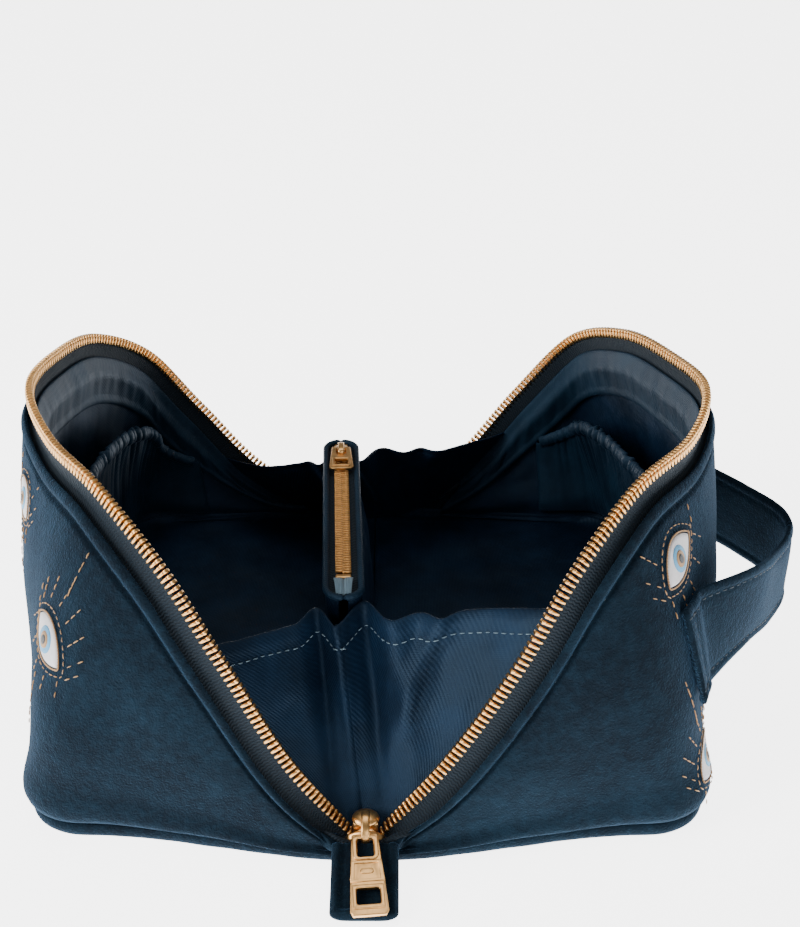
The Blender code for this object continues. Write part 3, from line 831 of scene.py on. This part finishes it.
def pocket(half):
    """Gathered pocket on the side wall with an elastic hem."""
    ends = (0.36, 0.82)

    def stand_off(s, v):
        slack = sin(pi * min(max((s - ends[0]) / (ends[1] - ends[0]), 0), 1)) ** 0.7
        folds = ripple((s * 120, v, 0), 1.0, 2.0) + 0.6 * ripple((s * 260, v, 0), 1.0, 5.0)
        return LINING_DEPTH + 1.2 + 14.0 * slack ** 0.6 * (0.35 + 0.65 * v) + folds * (0.4 + 1.6 * v ** 2) * slack ** 0.5

    def surface(s, v):
        droop = 0.025 * sin(pi * (s - ends[0]) / (ends[1] - ends[0])) * v
        return half.wall(s, 0.10 + 0.60 * v - droop, stand_off(s, v))

    made = cloth(half.name + "_pocket", "facing", 210, 22, half.laid(surface, ends), 0.7)
    half.sew(made, "lining_satin", half.name + "_elastic_pocket")

    def hem(s, v):
        crimp = 0.45 * ripple((s * 330, 0, 0), 1.0, 6.0)
        roll = 1.3 * sin(pi * v)
        droop = 0.025 * sin(pi * (s - ends[0]) / (ends[1] - ends[0]))
        return half.wall(s, 0.685 + 0.06 * v - droop, stand_off(s, 1.0) * 0.99 + roll + crimp)

    made = cloth(half.name + "_pocket_hem", "facing", 300, 6, half.laid(hem, (ends[0] + 0.004, ends[1] - 0.004)), 1.6)
    half.sew(made, "elastic", half.name + "_pocket_elastic")


def welt_stitches(half):
    def seam(q):
        t = half.share_below(q, 13.6)
        return half.wall(q, t, velvet_relief(half, q, t) + 0.12), half.normal(q, min(t, 0.98))

    made = sheet_row(half.name + "_welt_stitches", "thread", half, seam, [(0.05, 0.95, 320)],
                     stitch_pattern(2.0, 0.34, 0.36), 3.0)
    half.bend(made)


# ---------------------------------------------------------------- embroidered eyes

class Motif:
    """Flat drawing coordinates, in millimetres, laid on the velvet at one place."""

    def __init__(self, half, s, t, tilt, scale=1.0):
        self.half, self.s, self.t = half, s, t
        self.tilt, self.scale = tilt, scale
        self.per_s = (half.plain(s + 0.01, t) - half.plain(s - 0.01, t)).length / 0.02
        self.per_t = (half.plain(s, t + 0.01) - half.plain(s, t - 0.01)).length / 0.02
        self.way = half.normal(s, t)

    def fits(self, a, b):
        """Whether a spot still lies on the open velvet, clear of the welt and the foot."""
        rise = (a * sin(self.tilt) + b * cos(self.tilt)) * self.scale
        return 0.05 < self.t + rise / self.per_t < 1 - 6.5 / self.per_t

    def on(self, a, b, lift):
        a, b = a * self.scale, b * self.scale
        turned = (a * cos(self.tilt) - b * sin(self.tilt), a * sin(self.tilt) + b * cos(self.tilt))
        s, t = self.s + turned[0] / self.per_s, self.t + turned[1] / self.per_t
        return self.half.wall(s, t, velvet_relief(self.half, s, t) - lift)

    def patch(self, name, finish, outline, low, high, rings=6, sides=48):
        """A filled, slightly domed patch of satin stitch inside outline(turn) -> (a, b)."""
        def surface(u, v):
            a, b = outline(2 * pi * v)
            reach = max(0.02, min(1.0, u * 1.16))
            lift = low + (high - low) * (1 - min(1.0, u) ** 4) if u < 0.99 else low - 0.5
            point = self.on(a * reach, b * reach, lift)
            return self.half.mirrored(point)

        mesh = grid_mesh(name, rings, sides, surface, ring=True)
        return outward(piece_of(name, mesh, finish))

    def line_of(self, spots, lift):
        return [(self.half.mirrored(self.on(a, b, lift)), self.half.mirrored(self.way)) for a, b in spots]


EYE_LENGTH = 13.0
EYE_HEIGHT = 7.4
EYE_THREADS = ("white_thread", "blue_thread", "gold_thread", "dark_thread")


def almond(length, height, turn, grow=0.0):
    a = cos(turn) * (length / 2 + grow)
    lid = abs(sin(turn)) ** 1.7
    return a, (lid if sin(turn) > 0 else -lid * 0.86) * (height / 2 + grow) * 1.08


def eye(half, motif, parts):
    label = half.name + "_eye"
    parts["white_thread"].append(
        motif.patch(label, "white_thread", lambda w: almond(EYE_LENGTH, EYE_HEIGHT, w), 0.25, 0.75))
    for colour, a, b, low, high, sides in (("blue_thread", 2.9, 3.0, 0.75, 1.0, 28),
                                           ("gold_thread", 1.8, 1.95, 0.95, 1.2, 24),
                                           ("dark_thread", 0.95, 1.1, 1.15, 1.4, 20)):
        parts[colour].append(motif.patch(label, colour, lambda w: (a * cos(w), b * sin(w)), low, high, 4, sides))

    def ring(grow, start, end, count, lift):
        turns = [start + (end - start) * k / count for k in range(count + 1)]
        return motif.line_of([almond(EYE_LENGTH, EYE_HEIGHT, turn, grow) for turn in turns], lift)

    # Close satin outline, then a wider dashed outline, lashes and long dashes above and below
    parts["outline"].append(ring(0.35, 0.0, 2 * pi, 60, 0.55))
    parts["dashes"].append(ring(1.9, 0.2, 2 * pi + 0.1, 60, 0.35))
    rays = []
    for k in range(8):
        turn = pi * (0.04 + 0.92 * k / 7)
        a, b = almond(EYE_LENGTH, EYE_HEIGHT, turn, 2.2)
        reach = 2.2 + 2.0 * sin(turn)
        rays.append([(a * 1.1, b * 1.3 + 0.6), (a * 1.1 + reach * 0.4 * cos(turn), b * 1.3 + 0.6 + reach)])
    for k in range(5):
        turn = -pi * (0.16 + 0.68 * k / 4)
        a, b = almond(EYE_LENGTH, EYE_HEIGHT, turn, 2.2)
        rays.append([(a * 1.1, b * 1.25 - 0.4), (a * 1.25, b * 1.25 - 2.4)])
    for k in range(4):
        high = 12.0 + 3.2 * k
        rays.append([(2.0 + 0.9 * k, high), (2.6 + 0.9 * k, high + 2.0)])
        rays.append([(-1.6 - 0.9 * k, -high + 2.6), (-2.2 - 0.9 * k, -high + 0.6)])
    parts["rays"] += [motif.line_of(ray, 0.3) for ray in rays if all(motif.fits(*spot) for spot in ray)]


# Share along the rim, share up the wall, tilt and size of each eye
EYES = {
    1: [(0.335, 0.81, 0.36, 1.5), (0.302, 0.16, 0.4, 1.3), (0.70, 0.5, -0.4, 1.2), (0.58, 0.72, 0.4, 1.1)],
    -1: [(0.425, 0.82, 0.36, 1.3), (0.302, 0.6, 0.34, 1.45), (0.50, 0.35, -0.4, 1.2), (0.60, 0.66, 0.4, 1.2),
         (0.78, 0.5, -0.4, 1.15)],
}


def embroidery(half):
    parts = {key: [] for key in (*EYE_THREADS, "outline", "dashes", "rays")}
    for s, t, tilt, scale in EYES[half.side]:
        eye(half, Motif(half, s, t, tilt, scale), parts)
    made = [joined(f"{half.name}_embroidery_{key}", parts[key], key) for key in EYE_THREADS]
    for key, stitch, pitch, spread in (("outline", (1.3, 0.6, 0.5), 0.85, 0.1),
                                       ("dashes", (1.6, 0.34, 0.34), 2.3, 0.15),
                                       ("rays", (2.0, 0.42, 0.38), 2.5, 0.12)):
        made.append(row(f"{half.name}_embroidery_{key}", "gold_thread", parts[key],
                        stitch_pattern(*stitch), pitch, spread))
    for piece in made:
        half.bend(piece)


# ---------------------------------------------------------------- middle of the pouch

def gusset(label, half, reach, foot, top, towards):
    """One leaf of the gathered lining panel across a V, from its middle fold to this half's tape."""
    foot, top = Vector(foot), Vector(top)

    def surface(u, v):
        edge = half.mirrored(half.band(reach[0] + (reach[1] - reach[0]) * v, 8.2, 3.4))
        fold = foot.lerp(top, v)
        point = fold.lerp(edge, 1.03 * u - 0.03)
        u = max(0.0, 1.03 * u - 0.03)
        dx = point.x - fold.x
        width = 0.45 + 0.55 * v
        folds = (6.0 * bump(dx, -1.0, 3.0 * width) - 7.5 * bump(dx, -8.0, 3.2 * width)
                 - 8.5 * bump(dx, 6.8, 3.6 * width) + 4.0 * bump(dx, 16.0, 5.0 * width)
                 + 4.5 * bump(dx - 34 * (v - 0.35), 8.0, 4.0) * sin(pi * u))
        drape = 1.2 * ripple(point, 13, 3.0) + 0.5 * ripple(point, 5, 1.0)
        belly = 5.0 * sin(pi * u) * v
        hem = 0.9 * bump(v, 0.955, 0.03)
        point.y += towards * ((folds * min(1, v * 1.5) + drape * sin(pi * u) ** 0.5) * (0.3 + 0.7 * v) + hem - belly)
        point.z -= 3.2 * sin(pi * u) * v ** 3 + 0.6 * bump(dx, 6.0, 4.0) * v
        return point

    flip = (half.side > 0) == (towards < 0)
    laid = surface if flip else (lambda u, v: surface(1 - u, v))
    made = cloth(f"{half.name}_{label}_gusset", "lining", 46, 40, laid, 0.9)
    half.bend(made)

    def seam(q):
        point = surface(q, 0.885)
        return point + Vector((0, towards * 0.45, 0.1)), Vector((0, towards, 0.35))

    line = [seam(0.03 + 0.94 * k / 60) for k in range(61)]
    stitches = row(f"{half.name}_{label}_gusset_stitches", "pale_thread", [line],
                   stitch_pattern(1.7, 0.34, 0.3), 2.7, 0.1)
    half.bend(stitches)
    return made


def gussets():
    for half in HALVES:
        front = gusset("front", half, (0.02, 0.22 if half.side > 0 else 0.175), (0, -97, 3), (-8, -57, 57), -1)
        rear = gusset("rear", half, (0.985, 0.862), (0, 93, 3), (-12, 57, 56), 1)
        if half.side > 0:
            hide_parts("front_gusset")
            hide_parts("rear_gusset")


def in_divider(point):
    """From the divider's own frame to the pouch's."""
    turned = Matrix.Rotation(DIVIDER_TURN, 3, "Z") @ Vector(point)
    return turned + Vector((DIVIDER_X, 0, 0))


def end_width(y, half_length, wide):
    """Half width at y of a stadium with rounded ends."""
    over = (abs(y) - (half_length - wide)) / wide
    return wide * sqrt(max(0.0, 1 - max(0.0, over) ** 2))


def divider_sides():
    for side, label in ((1, "right"), (-1, "left")):
        def surface(u, v, side=side):
            y = (DIVIDER_HALF + 0.6) * sin(pi / 2 * (2 * u - 1)) * side
            share = 0.22 + 0.78 * min(1.0, v * 1.5) ** 0.8
            wide = end_width(y, DIVIDER_HALF + 0.8, 5.7) * share
            middle = -DIVIDER_X * (1 - v) ** 1.3
            z = 6.5 + (DIVIDER_TOP + 2.2 - 6.5) * v
            soft = (1.3 * sin(y / 17 + 2.2 * v) + 0.9 * ripple((0, y, z), 14, 2.0 * side)) * sin(pi * v) ** 0.7
            return in_divider((middle + side * wide + soft, y * (1 - 0.05 * (1 - v)), z))

        made = cloth(f"divider_{label}_side", "lining", 90, 30, surface, 1.0)
        belongs(made, "base", [f"divider_{label}_panel"])

        path = []
        for k in range(101):
            y = (DIVIDER_HALF + 0.9) * sin(pi / 2 * (2 * k / 100 - 1))
            wide = end_width(y, DIVIDER_HALF + 0.9, 5.5)
            path.append(in_divider((side * wide, y, DIVIDER_TOP + 2.0)))
        piping = tube(f"divider_{label}_piping", "facing", even(path, 120), 1.05, 12)
        belongs(piping, "base", [f"divider_{label}_piping"])

        def tape(u, v, side=side):
            y = 51.0 * sin(pi / 2 * (2 * u - 1))
            outer = end_width(y, 52.0, 4.9)
            x = 1.7 + (max(outer, 1.9) - 1.7) * (v if side < 0 else 1 - v)
            dip = 0.5 * sin(pi * (x - 1.7) / 6)
            return in_divider((side * x, y, DIVIDER_TOP + 1.3 - dip))

        flat = cloth(f"divider_{label}_tape_weave", "tape", 90, 8, tape, 0.5)
        belongs(flat, "base", [f"divider_{label}_tape"])

    rows = []
    for side in (1, -1):
        shift = 0.9 * (side < 0)
        ends = (-38.0 + shift, 48.0 + shift)
        if side < 0:
            ends = ends[::-1]
        steps = [ends[0] + (ends[1] - ends[0]) * k / 20 for k in range(21)]
        rows.append([(in_divider((0, y, DIVIDER_TOP + 1.4)), UP) for y in steps])
    pattern = block_pattern([((2.7, 0.8, 1.7), (1.2, 0, 0)), ((0.9, 1.0, 1.3), (0.1, 0, 0.1))], 0.16)
    teeth = row("divider_teeth", "gold", rows, pattern, 1.5)
    belongs(teeth, "base", ["divider_zip_teeth"])

    # The tape's folded ends beyond the front stop
    def fold(u, v):
        bulge = sin(pi * v)
        z = DIVIDER_TOP + 1.9 + 1.1 * bulge - 1.2 * v - 0.8 * bump(u, 0.5, 0.1)
        return in_divider((3.2 * (2 * u - 1) * (1 - 0.25 * v), -42.0 - 7.0 * v, z))

    folded = cloth("divider_tape_fold", "pale_thread", 16, 12, fold, 0.6)
    belongs(folded, "base")


def block(name, finish, size, centre, bevel):
    """A rounded block in millimetres."""
    bm = bmesh.new()
    matrix = Matrix.Translation(Vector(centre) * MM) @ Matrix.Diagonal((*(Vector(size) * MM), 1))
    bmesh.ops.create_cube(bm, size=1.0, matrix=matrix)
    mesh = bpy.data.meshes.new(name)
    bm.to_mesh(mesh)
    bm.free()
    made = piece_of(name, mesh, finish)
    edge = made.modifiers.new("edges", "BEVEL")
    edge.width = bevel * MM
    edge.segments = 3
    return settle(made)


def dome(name, finish, radii, centre):
    bm = bmesh.new()
    matrix = Matrix.Translation(Vector(centre) * MM) @ Matrix.Diagonal((*(Vector(radii) * MM), 1))
    bmesh.ops.create_uvsphere(bm, u_segments=32, v_segments=18, radius=1.0, matrix=matrix)
    mesh = bpy.data.meshes.new(name)
    bm.to_mesh(mesh)
    bm.free()
    return settle(piece_of(name, mesh, finish))


def strip(name, finish, points, half_width, thick, count=40, across=Vector((1, 0, 0))):
    """A bent metal strap along a smooth line, rounded at its edges."""
    line = smooth_line(points, count + 1)

    def surface(u, v):
        centre = along(line, u)
        tangent = (along(line, u + 0.02) - along(line, u - 0.02)).normalized()
        lift = tangent.cross(across).normalized()
        turn = 2 * pi * v
        c, k = cos(turn), sin(turn)
        x = half_width * squarish(c, 0.55)
        return centre + across * x + lift * (thick / 2 * squarish(k, 0.7))

    return outward(piece_of(name, grid_mesh(name, count, 20, surface, ring=True), finish))


def flat_plate(name, finish, outline, windows, thick, bevel, matrix):
    """A flat plate with windows and rounded edges, laid in its own XY plane."""
    curve = bpy.data.curves.new(name, "CURVE")
    curve.dimensions = "2D"
    curve.fill_mode = "BOTH"
    curve.extrude = (thick / 2 - bevel) * MM
    curve.bevel_depth = bevel * MM
    curve.bevel_resolution = 2
    curve.offset = -bevel * MM
    for ring in [outline, *windows]:
        spline = curve.splines.new("POLY")
        spline.points.add(len(ring) - 1)
        for spot, (x, y) in zip(spline.points, ring):
            spot.co = (x * MM, y * MM, 0, 1)
        spline.use_cyclic_u = True
    drawn = bpy.data.objects.new(name, curve)
    bpy.context.scene.collection.objects.link(drawn)
    graph = bpy.context.evaluated_depsgraph_get()
    mesh = bpy.data.meshes.new_from_object(drawn.evaluated_get(graph))
    bpy.data.objects.remove(drawn)
    mesh.transform(matrix)
    bm = bmesh.new()
    bm.from_mesh(mesh)
    bmesh.ops.remove_doubles(bm, verts=bm.verts, dist=1e-6)
    bm.to_mesh(mesh)
    bm.free()
    return outward(piece_of(name, mesh, finish))


def rounded(x0, y0, x1, y1, radius, steps=5):
    """Outline of a rounded rectangle."""
    ring = []
    for cx, cy, start in ((x1 - radius, y1 - radius, 0), (x0 + radius, y1 - radius, 1),
                          (x0 + radius, y0 + radius, 2), (x1 - radius, y0 + radius, 3)):
        for k in range(steps + 1):
            turn = pi / 2 * (start + k / steps)
            ring.append((cx + radius * cos(turn), cy + radius * sin(turn)))
    return ring


def slider():
    y = -96.0
    parts = [
        block("plate", "bright_gold", (7.4, 1.4, 6.4), (0, y - 2.95, 9.6), 0.66),
        block("plate", "bright_gold", (6.4, 1.4, 4.4), (0, y + 2.95, 8.2), 0.66),
        block("wedge", "bright_gold", (2.6, 6.0, 2.2), (0, y, 11.6), 0.6),
        dome("crown", "bright_gold", (4.0, 3.6, 1.7), (0, y - 1.6, 12.9)),
        strip("wings", "bright_gold", [(-5.6, y - 4.4, 6.8), (-4.2, y - 5.0, 8.7), (0, y - 5.4, 10.1),
                                       (4.2, y - 5.0, 8.7), (5.6, y - 4.4, 6.8)], 1.15, 1.2, 40,
              Vector((0, 0.75, 0.66)).normalized()),
        strip("bail", "bright_gold", [(0, y - 0.6, 14.4), (0, y - 3.6, 14.6), (0, y - 6.6, 12.9), (0, y - 7.9, 10.2),
                                      (0, y - 7.0, 7.8), (0, y - 4.4, 7.0)], 1.25, 1.1),
    ]
    body = joined("main_slider", parts, "bright_gold")
    belongs(body, "main_slider", ["main_slider_body"])

    lower = block("lower_teeth", "gold", (4.6, 2.4, 4.4), (0, y, 9.4), 0.5)
    belongs(lower, "base", ["zip_lower_teeth"])
    stop = block("bottom_stop", "bright_gold", (6.0, 2.6, 2.2), (0, y, 4.6), 0.6)
    belongs(stop, "base", ["zip_bottom_stop"])

    laid = (Matrix.Translation(Vector((-0.2, -103.4, 10.6)) * MM) @ Matrix.Rotation(radians(14.5), 4, "X")
            @ Matrix.Rotation(radians(4.5), 4, "Z"))
    taper = [(-3.8, 0.7), (-4.2, -3.0), (-5.4, -23.6), (-4.6, -24.9), (4.6, -24.9), (5.4, -23.6),
             (4.2, -3.0), (3.8, 0.7), (3.0, 1.0), (-3.0, 1.0)]
    field = Matrix.Translation(Vector((0, 0, 0.62)) * MM)
    parts = [
        flat_plate("plate", "bright_gold", taper, [rounded(-2.3, -6.8, 2.3, -0.6, 0.8)[::-1],
                                                   rounded(-3.3, -21.6, 3.3, -16.6, 0.7)[::-1]], 1.3, 0.3, laid),
        flat_plate("frame", "bright_gold", [(-4.5, -7.8), (-4.9, -14.6), (4.9, -14.6), (4.5, -7.8)],
                   [[(-3.4, -8.7), (3.4, -8.7), (3.7, -13.7), (-3.7, -13.7)]], 0.7, 0.2, laid @ field),
        flat_plate("ridge", "bright_gold", rounded(-1.9, -12.1, 1.9, -10.3, 0.85), [], 0.5, 0.2, laid @ field),
        flat_plate("frame", "bright_gold", rounded(-4.5, -23.0, 4.5, -15.5, 0.6),
                   [rounded(-3.4, -21.7, 3.4, -16.6, 0.6)[::-1]], 0.8, 0.25, laid @ field),
        flat_plate("ring", "bright_gold", rounded(-3.7, -7.6, 3.7, 0.4, 1.6),
                   [rounded(-2.5, -6.7, 2.5, -0.7, 0.9)[::-1]], 0.8, 0.25, laid @ field),
    ]
    puller = joined("main_puller_plate", parts, "bright_gold")
    belongs(puller, "main_puller_body", ["main_puller"])


def small_slider():
    z = DIVIDER_TOP + 1.2
    holder = Matrix.Translation(Vector((DIVIDER_X, 0, 0)) * MM) @ Matrix.Rotation(DIVIDER_TURN, 4, "Z")
    parts = [
        block("top", "bright_gold", (7.0, 8.0, 1.0), (0, 42, z + 1.7), 0.4),
        block("side", "bright_gold", (0.8, 8.0, 1.9), (3.3, 42, z + 0.9), 0.3),
        block("side", "bright_gold", (0.8, 8.0, 1.9), (-3.3, 42, z + 0.9), 0.3),
        dome("crown", "bright_gold", (2.9, 2.6, 1.5), (0, 44.4, z + 1.9)),
        strip("bail", "bright_gold", [(0, 45.4, z + 2.0), (0, 44.9, z + 4.2), (0, 42, z + 4.7), (0, 39.1, z + 4.2),
                                      (0, 38.7, z + 2.0)], 1.1, 0.9, 24),
    ]
    body = joined("small_slider", parts, "bright_gold")
    body.data.transform(holder)
    belongs(body, "divider_slider", ["divider_slider_body"])

    laid = holder @ Matrix.Translation(Vector((0, 43.2, z + 3.0)) * MM) @ Matrix.Rotation(radians(2), 4, "X")
    raised = Matrix.Translation(Vector((0, 0, 0.4)) * MM)
    taper = [(-3.2, 0.5), (-3.5, -3.0), (-4.3, -14.0), (-3.6, -15.0), (3.6, -15.0), (4.3, -14.0),
             (3.5, -3.0), (3.2, 0.5)]
    parts = [
        flat_plate("plate", "bright_gold", taper, [rounded(-1.7, -5.1, 1.7, -0.5, 0.6)[::-1],
                                                   rounded(-2.4, -12.5, 2.4, -8.2, 0.5)[::-1]], 1.0, 0.22, laid),
        flat_plate("frame", "bright_gold", rounded(-3.2, -13.4, 3.2, -7.4, 0.6),
                   [rounded(-2.4, -12.6, 2.4, -8.1, 0.5)[::-1]], 0.7, 0.2, laid @ raised),
    ]
    puller = joined("small_puller", parts, "bright_gold")
    belongs(puller, "divider_puller_body", ["divider_puller"])

    for label, y in (("front", -40.4), ("rear", 50.2)):
        stop = block(f"divider_{label}_bar", "bright_gold", (5.0, 2.0, 1.9), (0, y, z), 0.5)
        stop.data.transform(holder)
        belongs(stop, "base", [f"divider_{label}_stop"])


def pull_tab(name, points, way, node):
    """A padded velvet tab with rolled edges and a seam just inside them."""
    path = smooth_line([(0, y, z) for y, z in points], 41)

    def surface(u, v):
        centre = along(path, u)
        tangent = (along(path, u + 0.03) - along(path, u - 0.03)).normalized()
        lift = Vector((1, 0, 0)).cross(tangent) * -way
        close = 1 - 0.3 * max(0.0, 1 - (1 - u) * 9) ** 3
        turn = 2 * pi * v
        c, k = cos(turn), sin(turn)
        x = TAB_HALF * close * squarish(c, 0.6)
        inside = min(TAB_HALF * close - abs(x), (1 - u) * 23)
        h = 0.95 + 1.0 * bump(inside, 1.5, 1.2) - 0.55 * bump(inside, 3.4, 0.6) + 0.35 * ripple((x, centre.y, 0), 6)
        taper = min(1.0, (1 - u) * 16 + 0.2) ** 0.5
        return centre + Vector((x, 0, 0)) + lift * (h * taper * squarish(k, 0.6))

    made = outward(piece_of(name, grid_mesh(name, 44, 48, surface, ring=True), "velvet"))
    belongs(made, "base", [node])
    rows = []
    for edge in (-1, 1):
        line = []
        for k in range(31):
            u = 0.04 + 0.8 * k / 30
            tangent = (along(path, u + 0.03) - along(path, u - 0.03)).normalized()
            lift = Vector((1, 0, 0)).cross(tangent) * -way
            line.append((along(path, u) + Vector((edge * (TAB_HALF - TAB_SEAM), 0, 0)) + lift * 0.62, lift))
        rows.append(line)
    seam = row(name + "_stitches", "thread", rows, stitch_pattern(1.9, 0.4, 0.4), 2.8, 0.1)
    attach(seam, "base")


def zip_ends():
    pull_tab("front_pull_tab", [(-104.0, 8.6), (-109, 7.0), (-116, 4.4), (-127, 2.4)], -1, "front_tab")
    pull_tab("rear_pull_tab", [(98.4, 5.4), (104, 4.8), (112, 3.4), (124, 2.4)], 1, "rear_tab")
    for side, label in ((1, "right"), (-1, "left")):
        top = block(label + "_top_stop", "bright_gold", (2.6, 3.0, 3.4), (3.2 * side, 91, 10), 0.5)
        belongs(top, "base", [label + "_zip_top_stop"])

    # Velvet bridge over the base seam, which also closes the foot of both Vs
    def bridge(u, v):
        y = SEAM_FRONT + (SEAM_REAR - SEAM_FRONT) * v
        x = 7.0 * (1 - 2 * u)
        end = max(0.0, 1 - min(y - SEAM_FRONT, SEAM_REAR - y) / 5.0)
        return Vector((x, y, 0.2 + 0.9 * end - 0.25 * bump(x, 0, 0.8)))

    seam = cloth("base_seam", "velvet", 12, 80, bridge, 1.1)
    belongs(seam, "base", ["base_center_strip"])


# ---------------------------------------------------------------- carrying strap

def spot_beside_wall(half, y, z, stand):
    """The point that stands off the velvet by stand, at the given y and z."""
    best = None
    for step in range(241):
        s = 0.2 + 0.6 * step / 240
        foot, edge = half.plain(s, 0.0), half.plain(s, 1.0)
        t = (z - foot.z) / (edge.z - foot.z)
        point = half.plain(s, t) + half.normal(s, t) * stand
        if best is None or abs(point.y - y) < abs(best.y - y):
            best = point
    return best


def strap():
    """A padded velvet strap sewn to the right wall at both ends, as two lengths that meet at its crown."""
    half = HALVES[0]
    middle, span = STRAP_MIDDLE, STRAP_SPAN

    def rise(y):
        share = min(max((-14.0 - y) / 42.0, 0.0), 1.0)
        return STRAP_RISE * share * share * (3 - 2 * share)

    def edge_line(z, ends):
        front, rear = ([spot_beside_wall(half, middle + way * (span + step), z + rise(middle + way * span), 3.2)
                        for step in ends[way]] for way in (-1, 1))
        arch = [(119.5, middle - 42), (131, middle - 23), (138.8, middle - 8), (141, middle + 2),
                (138.8, middle + 12), (131, middle + 25), (119.5, middle + 42)]
        points = front[::-1] + [Vector((x, y, z)) for x, y in arch] + rear
        return smooth_line([Vector((p.x, p.y, z + rise(p.y))) for p in points], 161)

    lines = [edge_line(STRAP_LOW, {-1: (2, 6, 10, 14), 1: (-2, 2, 6, 10)}),
             edge_line(STRAP_HIGH, {-1: (-5, -1, 3, 7), 1: (-2, 2, 6, 10)})]

    def frame_of(u):
        low, high = (along(line, u) for line in lines)
        tangent = (along(lines[0], u + 0.01) - along(lines[0], u - 0.01)).normalized()
        out = tangent.cross(high - low).normalized()
        return low, high, out

    def face(u, w, lift):
        """w runs from -1 at the strap's lower edge to 1 at its upper edge."""
        low, high, out = frame_of(u)
        sway = 0.5 * ripple((u * 9, w, 0), 1.0, 3.0)
        return low.lerp(high, (w + 1) / 2) + out * (lift + sway)

    def plump(u, w):
        inside = (1 - abs(w)) * 14
        ends = min(u, 1 - u) * 160
        return 1.15 + 0.5 * bump(inside, 1.4, 1.2) - 0.5 * bump(inside, 3.3, 0.55) - 0.4 * bump(ends, 4.0, 0.9)

    def length(start, end, node):
        def surface(u, v):
            turn = 2 * pi * v
            c, k = cos(turn), sin(turn)
            w = squarish(c, 0.55)
            u = start + (end - start) * u
            return face(u, w, plump(u, w) * squarish(k, 0.5))

        made = outward(piece_of(node + "_strap", grid_mesh(node + "_strap", 84, 56, surface, ring=True), "velvet"))
        rows = []
        for w in (-0.765, 0.765):
            rows.append([(face(start + (end - start) * (0.02 + 0.97 * k / 60), w, 0.75),
                          frame_of(start + (end - start) * k / 60)[2]) for k in range(61)])
        return made, rows

    crown = 0.5
    gap = (Vector((0, middle - 46, 0)) * MM, Vector((0, middle - 34, 0)) * MM)
    back = (Vector((0, middle + 46, 0)) * MM, Vector((0, middle + 34, 0)) * MM)
    pattern = stitch_pattern(2.1, 0.45, 0.45)
    for label, ends, zone, nodes in (("front", (0.0, crown), gap, ("handle_front_end", "handle_strap")),
                                     ("rear", (crown, 1.0), back, ("handle_rear_end",))):
        made, rows = length(*ends, label)
        box = 0.02 if label == "front" else 0.98
        across = [(face(box, x / 10, 0.9), frame_of(box)[2]) for x in range(-8, 9)]
        stitches = row(label + "_strap_stitches", "thread", rows + [across], pattern, 3.0, 0.1)
        for piece in (made, stitches):
            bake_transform(piece)
        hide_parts(*nodes)


# ---------------------------------------------------------------- build, light and camera

for half in HALVES:
    velvet_wall(half)
    base_pad(half)
    base_floor(half)
    wall_lining(half)
    facing(half)
    rim_tape(half)
    rim_teeth(half)
    pocket(half)
    welt_stitches(half)
    embroidery(half)
gussets()
divider_sides()
slider()
small_slider()
zip_ends()
strap()


def area_light(name, size, power, spot, aim, colour=(1, 1, 1)):
    lamp = bpy.data.lights.new(name, "AREA")
    lamp.shape = "DISK"
    lamp.size = size
    lamp.energy = power
    lamp.color = colour
    made = bpy.data.objects.new(name, lamp)
    made.location = spot
    made.rotation_euler = (Vector(aim) - Vector(spot)).to_track_quat("-Z", "Y").to_euler()
    bpy.context.scene.collection.objects.link(made)


def studio():
    bm = bmesh.new()
    bmesh.ops.create_grid(bm, x_segments=1, y_segments=1, size=3.0)
    mesh = bpy.data.meshes.new("studio_floor")
    bm.to_mesh(mesh)
    bm.free()
    floor = bpy.data.objects.new("studio_floor", mesh)
    bpy.context.scene.collection.objects.link(floor)
    mesh.materials.append(studio_floor())

    world = bpy.data.worlds.new("studio")
    world.use_nodes = True
    backdrop = world.node_tree.nodes["Background"]
    backdrop.inputs["Color"].default_value = (1.0, 1.0, 1.0, 1.0)
    backdrop.inputs["Strength"].default_value = 0.28
    bpy.context.scene.world = world

    area_light("soft_box_left", 0.9, 20.0, (-1.1, -0.6, 0.7), (0, 0, 0.04))
    area_light("soft_box_front", 0.6, 3.0, (0.35, -1.3, 0.6), (0, 0, 0.04))
    area_light("top_light", 0.9, 5.0, (0.0, 0.2, 1.5), (0, 0, 0))

    lens = bpy.data.cameras.new("camera")
    lens.sensor_fit = "AUTO"
    lens.sensor_width = 36.0
    lens.lens = 54.4
    camera = bpy.data.objects.new("camera", lens)
    camera.location = (0.010, -0.412, 0.293)
    camera.rotation_euler = (radians(62.5), 0, 0)
    bpy.context.scene.collection.objects.link(camera)
    bpy.context.scene.camera = camera


studio()
